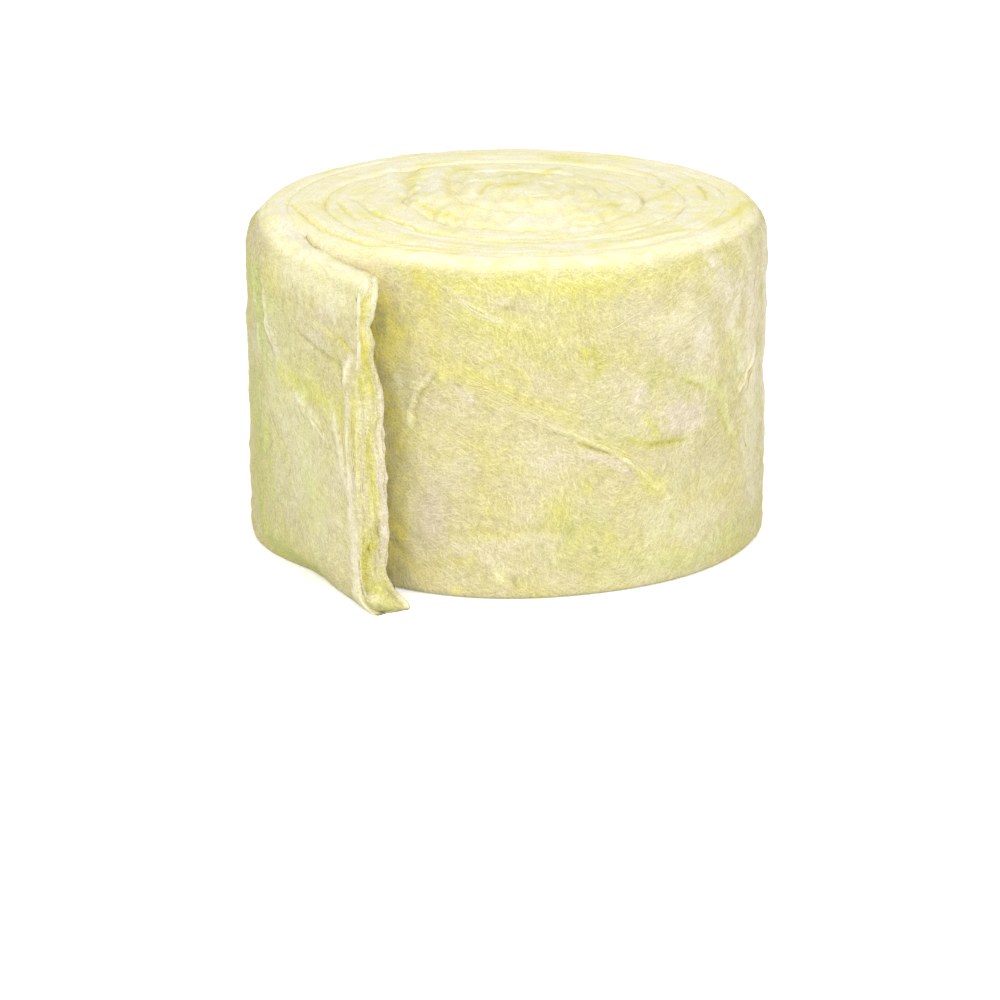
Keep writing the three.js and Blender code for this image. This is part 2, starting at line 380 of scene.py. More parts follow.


# --------------------------------------------------------- folds, tufts, stains, painted shade and painted light

# Each stroke is a line on the outer face, as (bearing, height in mm), with its half width in
# mm. It raises or sinks the wool by relief mm, and tints it; its shade is painted shade, and
# some of its pale, blush and ochre is painted light. Bearings past 207.5 are on the loose end,
# as if the roll went on round.
STROKES = [
    # the long combed band that sweeps down the front, with its bright lower rim
    ([(-110, 212), (-102, 196), (-96, 187), (-90, 174), (-80, 158), (-71, 140)], 11,
        {"relief": 1.2, "comb": 1.4}),
    ([(-98, 184), (-92, 173), (-85, 162)], 5, {"relief": 1.0, "comb": 1.0}),
    ([(-85, 162), (-76, 148), (-71, 138), (-66, 126), (-61, 110), (-57, 94), (-52, 79)], 2.8,
        {"relief": 2.2, "comb": 1.4, "yellow": 0.5, "pale": 0.35}),
    # the fold under it
    ([(-76, 142), (-73, 137), (-68, 129)], 1.4, {"relief": -1.8, "yellow": 1.0, "shade": 0.8}),
    ([(-67, 126), (-62, 110), (-58, 96)], 1.8, {"relief": -0.6, "yellow": 0.5, "shade": 0.15}),
    ([(-60, 110), (-57, 96), (-55, 84)], 8, {"yellow": 0.8}),
    ([(-75, 130), (-71, 127), (-66, 117), (-63, 106)], 6,
        {"relief": 0.6, "blush": 0.9, "shade": 0.15}),
    # the level crease to the right of it
    ([(-64, 141), (-60, 134), (-56, 132), (-49, 131)], 4.2,
        {"relief": -1.2, "yellow": 0.7, "green": 0.2, "shade": 0.2}),
    ([(-58, 132), (-53, 131), (-48, 130)], 1.6, {"relief": -1.2, "yellow": 0.6, "shade": 0.45}),
    ([(-60, 160), (-58, 150), (-56, 136)], 3.5, {"relief": -0.8, "yellow": 0.8, "green": 0.3}),
    ([(-58, 198), (-58, 183)], 2.0, {"relief": -1.0, "green": 0.8, "shade": 0.2}),
    ([(-52, 68), (-51, 56), (-52, 46)], 2.6,
        {"relief": -1.2, "green": 0.6, "yellow": 0.4, "shade": 0.2}),
    # the green ridge that arches over it on the right
    ([(-50, 190), (-44, 183), (-39, 173), (-35, 155), (-33, 130), (-30.5, 112)], 5.5,
        {"relief": 1.4, "green": 0.4, "yellow": 0.4, "pale": 0.2}),
    ([(-50, 188), (-46, 180), (-42, 172)], 1.8, {"relief": -0.8, "yellow": 0.6, "shade": 0.35}),
    ([(-37.5, 150), (-35.5, 140), (-33.5, 124)], 2.2,
        {"relief": -1.0, "yellow": 0.5, "green": 0.3, "shade": 0.3}),
    ([(-53, 161), (-47, 147), (-44, 156)], 13, {"blush": 1.0, "shade": 0.12}),
    # the hooked crease near the loose end, and what lies round it
    ([(-108, 205), (-112, 185), (-113.5, 168), (-113.3, 156)], 1.3,
        {"relief": -1.4, "yellow": 0.3, "shade": 0.6}),
    ([(-109.6, 205), (-113.6, 186), (-115, 169), (-115, 152)], 2.2, {"relief": 1.0, "pale": 0.3}),
    ([(-109, 184), (-110, 166)], 9, {"blush": 0.5, "shade": 0.3}),
    ([(-103.7, 198), (-102, 191)], 1.6, {"relief": -1.2, "shade": 0.8}),
    ([(-103.7, 195), (-102, 189), (-99.5, 182)], 3.0, {"relief": 1.2, "blush": 1.0}),
    ([(-106, 208), (-108, 196)], 4, {"relief": 1.0, "yellow": 0.6}),
    # the low ridge near the foot, pale below, and the tufts at the foot
    ([(-107, 58), (-98, 62), (-93, 60), (-85, 65), (-80, 62)], 4,
        {"relief": -1.3, "shade": 0.1, "yellow": 0.3}),
    ([(-106, 44), (-96, 50), (-88, 57), (-80, 51)], 6, {"relief": 1.2, "blush": 0.45}),
    ([(-78.5, 63), (-77.5, 60)], 3.5, {"relief": -1.6, "green": 0.9, "shade": 0.5}),
    ([(-94.5, 26), (-93, 17)], 5.0, {"relief": 3.4, "pale": 0.45, "yellow": 0.5}),
    ([(-91, 22), (-90.5, 13)], 2.5, {"relief": -2.0, "shade": 0.5}),
    ([(-98, 40), (-95, 29)], 4, {"relief": 1.2, "blush": 0.5}),
    ([(-72, 44), (-71, 36)], 3, {"relief": -1.5, "green": 0.5, "shade": 0.3}),
    # streaks and clumps under the shoulder
    ([(-107, 284), (-100, 268), (-94, 255), (-88, 246)], 1.5, {"relief": 0.7, "pale": 0.25}),
    ([(-104, 272), (-98, 258), (-91, 247)], 1.2, {"relief": 0.6, "pale": 0.15}),
    ([(-112, 288), (-98, 286), (-76, 286), (-50, 286), (-26, 284)], 10,
        {"yellow": 0.5, "green": 0.1}),
    ([(-94, 272), (-92, 273)], 3.4, {"relief": 1.6, "blush": 0.8}),
    ([(-93, 265), (-90, 266)], 3, {"relief": -1.5, "shade": 0.5}),
    ([(-94, 224), (-90, 212), (-87, 198)], 3, {"relief": 1.2, "yellow": 0.5}),
    ([(-75.5, 230), (-75, 222), (-74, 214)], 3.0, {"relief": 2.0, "yellow": 0.6}),
    ([(-73, 227), (-71, 214), (-72, 203)], 4.0,
        {"relief": -1.4, "yellow": 0.6, "green": 0.3, "shade": 0.25}),
    ([(-40, 292), (-39, 284), (-38, 272)], 11, {"blush": 0.9, "pale": 0.3}),
    # the ochre beside the loose end: partly its own colour, partly painted light in the shaded gap
    ([(-128, 262), (-127, 240), (-126, 140), (-124, 30)], 17, {"ochre": 1.1}),
    # painted light: blush, pale and ochre that lighten the shaded slit behind the loose end's top
    ([(-140, 292), (-130, 288), (-118, 276)], 13, {"blush": 0.9, "ochre": 0.2}),
    ([(-124, 276), (-121, 262), (-119, 250)], 9, {"ochre": 0.35, "blush": 0.4}),
    ([(-158, 298), (-144, 296), (-130, 298)], 15, {"pale": 0.6, "ochre": 0.4, "blush": 0.3}),
    ([(-151, 282), (-144, 286), (-138, 292)], 14, {"relief": 3.0}),
    ([(-115, 296), (-112, 286), (-109.6, 278), (-108, 270)], 5,
        {"ochre": 0.2, "yellow": 0.3, "shade": 0.3}),
    ([(-115, 240), (-112, 232)], 8, {"ochre": 0.25, "shade": 0.1}),
    ([(-119, 250), (-119, 215)], 13, {"ochre": 0.3, "green": 0.3}),
    ([(-120, 268), (-120, 200), (-118, 120), (-117, 30)], 11, {"ochre": 0.15, "yellow": 0.25}),
    ([(-118, 58), (-117, 48)], 6, {"ochre": 0.6, "shade": 0.2}),
    ([(-117, 40), (-114, 20), (-108, 8)], 9, {"ochre": 0.3, "shade": 0.2}),
    # yellower and greener places, pale ones, and painted shade in a few
    ([(-104, 262), (-97, 254), (-92, 244)], 12, {"yellow": 0.4, "green": 0.3}),
    ([(-84, 272), (-76, 284), (-70, 268)], 17, {"yellow": 0.28}),
    ([(-100, 240), (-84, 244), (-68, 250)], 26, {"yellow": 0.22}),
    ([(-112, 150), (-104, 132)], 22, {"yellow": 0.2}),
    ([(-56, 250), (-46, 236), (-40, 200)], 20, {"blush": 0.35, "pale": 0.3}),
    ([(-106, 213), (-98, 202), (-88, 182), (-76, 162)], 8, {"yellow": 0.5}),
    ([(-74, 104), (-73, 96)], 7, {"yellow": 0.7}),
    ([(-69, 56), (-67, 48)], 7, {"yellow": 0.6}),
    ([(-82, 84), (-78, 74)], 10, {"yellow": 0.6}),
    ([(-106, 95), (-104, 90)], 6, {"yellow": 0.4}),
    ([(-97, 84), (-96, 81)], 5, {"yellow": 0.6}),
    ([(-60, 24), (-46, 18), (-30, 26)], 13, {"green": 0.5}),
    ([(-60, 60), (-46, 50), (-36, 70)], 34, {"pale": 0.25}),
    ([(-105, 7), (-103, 5)], 5, {"ochre": 0.4}),
    ([(-110, 92), (-110, 62)], 14, {"blush": 0.8, "shade": 0.25}),
    ([(-114, 12), (-106, 9)], 7, {"blush": 0.5, "shade": 0.2}),
    ([(-62, 190), (-60, 176)], 12, {"blush": 0.9}),
    ([(-53, 156), (-45, 146)], 12, {"blush": 0.9}),
    ([(-44, 228), (-42, 216)], 12, {"blush": 0.7}),
    ([(-86, 128), (-80, 120)], 16, {"blush": 0.6}),
    ([(-24, 285), (-20, 240), (-22, 200), (-20, 120), (-20, 70)], 24, {"blush": 0.6, "pale": 0.35}),
    ([(-8, 290), (-4, 180), (-4, 70)], 24, {"pale": 0.4, "blush": 0.6}),
    ([(-36, 262), (-30, 240), (-34, 220)], 12, {"blush": 0.6, "pale": 0.3}),
    ([(-31, 214), (-29, 190), (-30, 168)], 9, {"green": 0.5, "pale": 0.2}),
    ([(-28, 158), (-24, 172), (-18, 190)], 2.6, {"relief": 1.8, "pale": 0.8}),
    ([(-27, 152), (-22, 164), (-16, 178)], 2.0, {"relief": -1.6, "shade": 0.3, "blush": 0.4}),
    ([(-22, 120), (-18, 140), (-20, 100)], 12, {"green": 0.35, "shade": 0.15}),
    ([(-8, 185), (-6, 110)], 30, {"relief": -1.6}),
    ([(-13, 244), (-11, 226)], 3.5, {"green": 1.0, "shade": 0.4}),
    ([(-8.5, 218), (-7.5, 215)], 4, {"relief": -2.5}),
    # the loose end: its green left, its folds and its streaks
    ([(188, 262), (198, 250), (203, 214), (204, 190)], 13, {"green": 1.0}),
    ([(202, 262), (201.5, 248)], 5, {"green": 0.8, "relief": -1.0}),
    ([(208, 256), (209, 243)], 6, {"green": 0.8, "yellow": 0.4}),
    ([(203, 222), (206, 210), (208.5, 198)], 3, {"relief": -1.6, "shade": 0.4}),
    ([(206, 226), (209, 212), (211, 200)], 4, {"relief": 1.6, "pale": 0.4}),
    ([(210, 184), (215, 177), (221, 180)], 7, {"yellow": 0.7, "green": 0.3}),
    ([(221, 180), (226, 180), (233, 178)], 8, {"yellow": 0.9, "green": 0.2}),
    ([(214, 186), (222, 183), (229, 180)], 11, {"yellow": 0.9}),
    ([(182, 250), (184, 180), (186, 60)], 15, {"green": 0.6, "pale": 0.3}),
    ([(223, 234), (228, 225), (233, 222), (237, 216)], 2.6,
        {"relief": -1.7, "green": 0.4, "shade": 0.3}),
    ([(222, 240), (229, 231), (234, 228)], 5, {"relief": 1.4, "blush": 0.3}),
    ([(237, 244), (239.6, 239), (241.5, 235)], 3.2,
        {"relief": -2.0, "yellow": 0.7, "ochre": 0.15, "shade": 0.2}),
    ([(228, 251), (235, 244)], 3.4, {"ochre": 0.2, "yellow": 0.2}),
    ([(240.8, 229), (239.8, 216), (239.4, 202)], 3.4, {"relief": 2.2, "pale": 0.85}),
    ([(236.6, 218), (238, 211), (238.4, 202)], 1.6, {"relief": -1.6, "shade": 0.4, "green": 0.3}),
    ([(219.5, 169), (223, 161), (227, 153), (231, 141)], 2.8,
        {"relief": 1.6, "pale": 0.6, "blush": 0.3}),
    ([(231, 178), (236, 174), (238, 160)], 7, {"yellow": 0.6}),
    ([(201, 100), (205, 124), (206, 78), (207, 66)], 6, {"green": 0.9}),
    ([(197, 170), (198, 120), (199, 70), (200, 40)], 12, {"green": 0.6, "shade": 0.1}),
    ([(200, 48), (202, 20), (216, 10), (228, 14)], 12, {"green": 0.7}),
    ([(233, 268), (229, 242)], 10, {"blush": 0.45}),
    ([(214, 146), (221, 74), (216, 50), (224, 38)], 13, {"blush": 0.6, "shade": 0.1}),
    ([(222, 100), (228, 80)], 8, {"green": 0.5}),
    ([(198, 150), (214, 120), (224, 70), (214, 40)], 42, {"green": 0.35}),
    # painted light: broad pale washes that lighten the loose end
    ([(206, 244), (218, 210), (230, 176)], 40, {"green": 0.3, "pale": 0.12}),
    ([(206, 190), (220, 120), (234, 60)], 44, {"pale": 0.25}),
    # painted shade low on the wall beside the loose end
    ([(-113, 30), (-108, 70), (-104, 100)], 22, {"blush": 0.35, "shade": 0.3}),
    ([(240.6, 192), (240, 150), (240, 110)], 3.2, {"relief": 1.2, "pale": 0.5, "blush": 0.2}),
    ([(238, 190), (237.6, 160), (238.4, 130)], 3.0, {"relief": -0.8, "yellow": 0.6}),
    ([(242.6, 196), (242.2, 160), (242.6, 120)], 2.4, {"relief": -0.8, "yellow": 0.7}),
    ([(234, 176), (236, 150), (238, 120)], 3.4, {"relief": 1.0, "pale": 0.5}),
    ([(201, 272), (203, 240), (206, 212)], 2.4, {"relief": -2.2, "green": 0.8, "shade": 0.25}),
    ([(197, 278), (199, 236), (201, 190)], 3.0, {"relief": 1.6, "green": 0.4, "pale": 0.2}),
    ([(204, 262), (206, 236), (209, 214)], 2.6, {"relief": 1.2, "pale": 0.4}),
    ([(240, 110), (241, 60), (241.6, 10)], 4.6, {"relief": 1.6, "pale": 0.4, "blush": 0.7}),
    # painted highlight along the rounded top edge of the loose end
    ([(210, 288), (226, 288), (241, 280)], 16, {"pale": 0.5, "yellow": 0.35}),
    ([(206, 270), (214, 268)], 16, {"yellow": 0.5}),
    # the shoulder falls away more at the back left
    ([(130, 300), (160, 290), (196, 292)], 26, {"relief": -1.2}),
]

# The same on the top, as (bearing, radius in mm).
TOP_STROKES = [
    # painted highlight: the bright roll of the shoulder along the front
    ([(-118, 240), (-104, 233), (-89, 226), (-70, 219), (-52, 216)], 7, {"pale": 0.3}),
    ([(120, 236), (160, 236), (190, 234)], 22, {"relief": -0.8}),
    # the seam behind the loose end: its blush is the wool's, its pale is painted light over its
    # shade
    ([(177, 217), (-163, 221), (-153, 222), (-139, 236), (-127, 252)], 5,
        {"blush": 0.4, "pale": 0.6}),
    ([(-152, 226), (-144, 231), (-137, 236)], 8, {"relief": 3.0}),
    # the layer that has split off inside the outer turn
    ([(-180, 208), (-169, 200), (-157, 197), (-147, 196)], 2.0,
        {"relief": -2.5, "ochre": 0.45, "shade": 0.15}),
    ([(-147, 196), (-133, 198), (-118, 194), (-104, 192)], 2.4, {"relief": -1.5, "yellow": 0.7}),
    # the tight yellow seam further in
    ([(174, 152), (-178, 143), (-168, 137)], 2.0, {"relief": -1.5, "blush": 0.3, "shade": 0.15}),
    ([(-168, 137), (-156, 133), (-144, 129.5), (-130, 134), (-118, 136), (-107, 141), (-92, 142)],
        2.0, {"relief": -3.0, "yellow": 1.0, "ochre": 0.3}),
    ([(-181, 164), (-165, 159), (-155, 158)], 2.0, {"relief": -1.0, "yellow": 0.8}),
    ([(174, 106), (-165, 91), (-143, 88), (-125, 92)], 3,
        {"relief": -0.6, "yellow": 0.6, "ochre": 0.2}),
    ([(118, 215), (113, 224), (108, 227)], 5, {"yellow": 0.6}),
    # the crumpled turns on the left of the core
    ([(127, 195), (136, 167), (150, 135), (167, 109)], 5, {"relief": 1.6, "pale": 1.0}),
    ([(124, 170), (136, 145), (152, 118), (172, 99)], 3.5,
        {"relief": -2.0, "blush": 0.6, "ochre": 0.3}),
    ([(121, 173), (132, 145), (149, 116), (169, 95)], 4, {"relief": 0.8, "yellow": 0.8}),
    ([(120, 150), (131, 118), (152, 86), (184, 72)], 4, {"relief": 1.8, "pale": 0.8}),
    ([(117, 139), (128, 107), (150, 74), (189, 58)], 4,
        {"relief": -2.2, "ochre": 0.4, "blush": 0.4}),
    ([(112, 118), (120, 84), (150, 48), (205, 42)], 4, {"relief": 1.6, "pale": 0.4}),
    ([(117, 130), (112, 138), (111, 124)], 8, {"yellow": 0.6, "green": 0.2}),
    ([(103, 136), (104, 111), (110, 85)], 6, {"pale": 0.9}),
    # the loose yellow wool in it
    ([(104, 83), (97, 89), (90, 100)], 5, {"relief": -0.6, "yellow": 1.2}),
    ([(84, 105), (79, 122), (74, 142)], 5, {"yellow": 0.9}),
    ([(156, 15), (103, 22), (84, 37)], 7, {"yellow": 0.7}),
    ([(199, 38), (162, 32), (129, 38)], 2.5, {"relief": -0.8, "yellow": 0.8, "ochre": 0.5}),
    ([(85, 49), (78, 78), (72, 101)], 6, {"yellow": 0.4}),
    ([(120, 50), (0, 50)], 70, {"yellow": 0.14}),
    # cracks and streaks on the right
    ([(52, 172), (45, 172), (36, 163)], 1.8, {"relief": -0.8, "shade": 0.2}),
    ([(36, 163), (30, 155), (22, 143)], 1.8, {"relief": -1.2, "shade": 0.35}),
    ([(22, 179), (13, 176), (3, 172)], 2.0, {"relief": -1.0, "yellow": 0.7, "shade": 0.25}),
    ([(-15, 200), (-1, 208), (4, 214)], 6, {"yellow": 0.8}),
    ([(-28, 195), (-17, 196)], 6, {"yellow": 0.7}),
    ([(-3, 112), (13, 140), (24, 165)], 3, {"yellow": 0.5}),
    ([(-22, 86), (-10, 94)], 3.5, {"yellow": 0.9}),
    ([(-60, 131), (-40, 142), (-20, 146), (-2, 157)], 2.4,
        {"relief": -0.5, "yellow": 0.5, "blush": 0.2}),
    ([(-66, 166), (-51, 172), (-33, 182)], 3.5, {"yellow": 0.7}),
    ([(78, 178), (69, 175)], 7, {"yellow": 0.5}),
]

# The same on the torn end, as (height in mm, share of the thickness from the face towards the
# roll). Relief is along the strip.
END_STROKES = [
    # the golden groove behind the outer sheet
    ([(286, 0.5), (266, 0.48), (244, 0.5), (224, 0.45)], 5.0,
        {"relief": -2.4, "yellow": 0.8, "ochre": 0.3}),
    ([(305, 0.5), (294, 0.5)], 9, {"pale": 1.0, "relief": 1.0}),
    ([(298, 0.12), (262, 0.14), (246, 0.2)], 4.2, {"relief": 1.6, "pale": 0.9, "yellow": 0.2}),
    ([(296, 0.92), (262, 0.92), (240, 0.9), (214, 0.9)], 4.4, {"pale": 0.7, "blush": 0.3}),
    ([(232, 0.6), (212, 0.5), (190, 0.5)], 5.0, {"yellow": 0.7}),
    # the edge towards the roll
    ([(240, 0.02), (205, 0.04), (150, 0.03), (90, 0.03), (30, 0.04)], 3.4,
        {"blush": 1.0, "pale": 0.4}),
    ([(228, 0.2), (190, 0.18), (130, 0.16)], 1.8, {"relief": -1.8, "yellow": 0.5}),
    # the grooves further down
    ([(212, 0.86), (196, 0.72), (178, 0.68)], 2.2, {"relief": -2.5, "yellow": 0.8}),
    ([(156, 0.52), (140, 0.5), (118, 0.46), (96, 0.4)], 2.0, {"relief": -2.5, "yellow": 1.0}),
    ([(96, 0.4), (78, 0.36), (60, 0.38)], 2.0, {"relief": -2.5, "yellow": 1.0}),
    ([(150, 0.24), (100, 0.2), (40, 0.22)], 3.5, {"blush": 0.8}),
    ([(64, 0.86), (45, 0.84), (20, 0.84)], 1.8,
        {"relief": -4.0, "yellow": 1.0, "ochre": 0.4, "shade": 0.3}),
    ([(66, 0.42), (48, 0.7), (34, 0.72), (16, 0.74)], 1.6,
        {"relief": -2.5, "yellow": 1.0, "shade": 0.2}),
    ([(58, 0.56), (50, 0.46)], 3, {"relief": 2.0, "yellow": 0.9}),
    # the fold that opens at the toe, and the flap towards the roll
    ([(19, 0.9), (11, 0.84), (5, 0.76), (0, 0.66)], 2.4,
        {"relief": -5.0, "green": 0.6, "shade": 1.6}),
    ([(15, 1.0), (7, 0.98), (0, 0.92)], 3.0, {"pale": 1.0}),
    ([(1, 0.62), (0, 0.3)], 2.6, {"green": 0.5, "shade": 0.9}),
    ([(18, 0.5), (2, 0.46)], 5.0, {"yellow": 0.9, "green": 0.3, "shade": 0.2}),
    ([(17, 0.1), (12, 0.16), (0, 0.24)], 2.2, {"relief": -4.0, "shade": 0.9}),
    ([(14, 0.02), (0, 0.08)], 3.0, {"pale": 1.0}),
]

TINTS = ("yellow", "ochre", "green", "blush", "pale", "shade")
CHANNELS = ("relief", "comb", *TINTS)

# A stroke's edge is ragged, its ends taper, and the skin is made finer where it is narrow.
STROKE_RAGGEDNESS = ((0.9, 6, 41), (0.7, 16, 42))
STROKE_WIDTHS = (0.6, 1.5)
STROKE_ENDS = (-0.12, 0.2)
NARROW = 3.4
FINE_WIDTHS = 1.6
FINE_MARGIN = 1.5

# What counts as the top, the foot and the wall, by how far the skin faces up, down or outwards.
FACING = 0.5
FACING_UP = (0.2, 0.6)
FACING_UP_PALE_AND_LIT = (0.5, 0.8)
FACING_DOWN = (0.35, 0.75)
FACING_OUT = (0.1, 0.5)
TOP_HEIGHTS = (0.5 * WIDTH, 0.7 * WIDTH)
END_FACING_UP = 0.3
END_FACING_OUT = 0.6

# The inner turns lie a little towards the back left, and wander at the core.
CORE_SHIFT = 9 * MM
CORE_SHIFT_BEARING = 168
CORE_SHIFT_SPREAD = (8, 40)
CORE_SHIFT_START = (5 * MM, 50 * MM)
CORE_SHIFT_STOP = (140 * MM, 205 * MM)
CORE_WANDER = 9 * MM
CORE_WANDER_REACH = 45 * MM
CORE_WANDER_SEEDS = (21, 22)
CORE_WANDER_START = (2 * MM, 30 * MM)
CORE_WANDER_STOP = (60 * MM, 130 * MM)

# The top sinks where the loose end leans out, and half as far beside it on the turn within.
LOOSE_DROOP = 10 * MM
DROOP_REACH = 34 * MM
DROOP_HEIGHTS = (0.55 * WIDTH, WIDTH)
DROOP_START = (192, 214)
DROOP_STOP = (228, 248)
DROOP_OWN = 190
DROOP_BESIDE = 0.5

# How far the foot of the loose end stands out from its wall, as (bearing, mm).
FOOT_BEND = np.array(
    [(195, 0), (204, -4), (211, -9), (218, -15), (224, -14), (230, -8), (237, -1.5), (243, 8)]
)
FOOT_BEND_HEIGHT = 24 * MM
FOOT_BEND_IN = (-30 * MM, -6 * MM)
FOOT_BEND_OUT = (-13 * MM, -6 * MM)

# The relief of the wool, as layers of noise (height in mm, reach in mm, seed, stretch): all
# over it, along the turns on the top, down the torn end, and in the crumpled turns of the core.
SWELLS = ((1.8, 90, 3), (1.9, 30, 4), (1.5, 12, 5))
TOP_LAYERS = ((1, 9, 1, (0.06, 1, 1)), (0.6, 5, 8, (0.05, 1, 1)))
TORN_LAYERS = ((1, 5, 2, (1, 0.12, 1)), (0.5, 5, 7))
CRUMPLES = ((1, 13, 9, (1, 0.22, 1)), (1, 6, 10, (1, 0.22, 1)))
TOP_CALM = 0.6
TOP_LAYER_HEIGHT = 0.8
TORN_LAYER_HEIGHT = 1.8
TORN_RIM = (MM, 6 * MM)
CRUMPLE_HEIGHT = 2.4
CRUMPLED_RADII = (90 * MM, 150 * MM)
CORE_CLOSED_RADII = (4 * MM, 18 * MM)
SWELL_HEIGHTS = (-4 * MM, 14 * MM)
STROKE_HEIGHTS = (-2 * MM, 2 * MM)

# How the fibres lie on the wall, as an angle from the strip's own run: at first, how much each
# stretch of bearings adds, and how much it wanders.
LEAN_FIRST = -0.75
LEAN_TURNS = ((1.6, -82, -48), (-1.65, 150, 200))
LEAN_WANDER = (1.1, 70, 6)
COMBED = 0.15
TOP_ORDER = 0.7

SEED_SHIFT = (7.3, 3.1, 5.7)


def noise_at(points, reach, seed, stretch=(1, 1, 1)):
    """Smooth noise, about -0.5 to 0.5, whose swells are about reach across."""
    shift = Vector([seed * size for size in SEED_SHIFT])
    scaled = points * (np.array(stretch) / reach)
    return np.array([noise.noise(Vector(p) + shift) for p in scaled])


def swells(points, *layers):
    """Layers of noise on one another, each as (height, reach in mm, seed, stretch)."""
    return sum(
        height * noise_at(points, reach * MM, seed, *stretch)
        for height, reach, seed, *stretch in layers
    )


def wall_plane(line):
    return np.column_stack([np.radians(line[:, 0]) * ROLL_RADIUS, line[:, 1] * MM])


def top_plane(line):
    angle = np.radians(line[:, 0])
    return np.column_stack([np.cos(angle), np.sin(angle)]) * line[:, 1:] * MM


def end_plane(line):
    return np.column_stack([line[:, 1] * LOOSE_THICKNESS, line[:, 0] * MM])


def level(plane_points):
    """Points of a plane as points in space, at no height."""
    return np.column_stack([plane_points, np.zeros(len(plane_points))])


def along_line(points, line):
    """For each point: its distance to a line, how far along that is, and the heading there."""
    best = np.full(len(points), np.inf)
    share = np.zeros(len(points))
    heading = np.zeros((len(points), 2))
    steps = np.diff(line, axis=0)
    lengths = np.linalg.norm(steps, axis=1)
    done = np.concatenate([[0], np.cumsum(lengths)]) / lengths.sum()
    for k, step in enumerate(steps):
        offset = points - line[k]
        t = np.clip(offset @ step / lengths[k] ** 2, 0, 1)
        distance = np.linalg.norm(offset - t[:, None] * step, axis=1)
        closer = distance < best
        best[closer] = distance[closer]
        share[closer] = (done[k] + t * (done[k + 1] - done[k]))[closer]
        heading[closer] = step / lengths[k]
    return best, share, heading


def paint(strokes, points, to_plane, mask, channels):
    """Adds the strokes to the channels, in the plane that to_plane unrolls bearings onto."""
    ragged = np.clip(1 + swells(level(points), *STROKE_RAGGEDNESS), *STROKE_WIDTHS)
    for line, half_width, effects in strokes:
        distance, share, heading = along_line(points, to_plane(np.array(line, float)))
        taper = np.sqrt(smooth(np.minimum(share, 1 - share), *STROKE_ENDS))
        weight = np.exp(-((distance * ragged / (half_width * MM)) ** 2)) * taper * mask
        for name, amount in effects.items():
            channels[name] += amount * weight
        channels["heading"] += heading * (weight * effects.get("comb", 0))[:, None]


def refine(mesh):
    """Splits the faces of the torn end and beside the narrow strokes, so that these are crisp."""
    bm = bmesh.new()
    bm.from_mesh(mesh)
    bm.normal_update()
    step_layer = bm.verts.layers.float["step"]
    centre = np.array([face.calc_center_median() for face in bm.faces])
    out = np.array([face.normal for face in bm.faces])
    step = np.array([max(v[step_layer] for v in face.verts) for face in bm.faces])
    faced = bearing_of(step, LOOSE_BEND_RADIUS)
    outward = out[:, 0] * np.cos(faced) + out[:, 1] * np.sin(faced)
    at_end = (step > LAST_STEP - 0.5) & (out[:, 2] < END_FACING_UP)
    fine = at_end & (np.abs(outward) < END_FACING_OUT)
    on_wall = np.column_stack([bearing_of(step, ROLL_RADIUS) * ROLL_RADIUS, centre[:, 2]])
    regions = (
        (STROKES, on_wall, wall_plane, outward > FACING),
        (TOP_STROKES, settle(centre)[:, :2], top_plane, out[:, 2] > FACING),
    )
    for strokes, points, to_plane, where in regions:
        for line, half_width, effects in strokes:
            if half_width < NARROW and "relief" in effects:
                distance = along_line(points, to_plane(np.array(line, float)))[0]
                near = distance < (FINE_WIDTHS * half_width + FINE_MARGIN) * MM
                fine = fine | (where & near)
    bm.faces.ensure_lookup_table()
    edges = {edge for k in np.flatnonzero(fine) for edge in bm.faces[k].edges}
    bmesh.ops.subdivide_edges(bm, edges=list(edges), cuts=1, use_grid_fill=True)
    bm.to_mesh(mesh)
    bm.free()
    mesh.shade_smooth()


def polar(at):
    """The radius that each point is at, and its bearing from 0 to 360."""
    return np.hypot(at[:, 0], at[:, 1]), np.degrees(np.arctan2(at[:, 1], at[:, 0])) % 360


def settle(at):
    """The inner turns shifted and wandering, as they lie on the floor."""
    radius, bearing = polar(at)
    aside = np.abs(bearing - CORE_SHIFT_BEARING)
    share = fade(aside, *CORE_SHIFT_SPREAD) * fade(radius, *CORE_SHIFT_STOP)
    share = share * smooth(radius, *CORE_SHIFT_START)
    radial = at * (1, 1, 0) / np.maximum(radius, MM)[:, None]
    settled = at + radial * (CORE_SHIFT * share)[:, None]
    wander = CORE_WANDER * fade(radius, *CORE_WANDER_STOP) * smooth(radius, *CORE_WANDER_START)
    inside = wander > 0
    spots = at[inside] * (1, 1, 0)
    for k, seed in enumerate(CORE_WANDER_SEEDS):
        settled[inside, k] += wander[inside] * noise_at(spots, CORE_WANDER_REACH, seed)
    return settled


def droop(at, turned):
    """How far the top sinks, by the bearing that each point is at and its bearing as wound."""
    radius, bearing = polar(at)
    step = BARE_STEP + np.radians(bearing - np.degrees(LIFT_OFF)) / STEP_ANGLE
    within = radius - np.array([outer_radius(s) for s in step])
    beside = smooth(bearing, *DROOP_START) * fade(bearing, *DROOP_STOP)
    beside = DROOP_BESIDE * (beside * smooth(within, -DROOP_REACH, 0))
    share = np.where(turned > DROOP_OWN, smooth(turned, *DROOP_START), beside)
    return LOOSE_DROOP * share * smooth(at[:, 2], *DROOP_HEIGHTS)


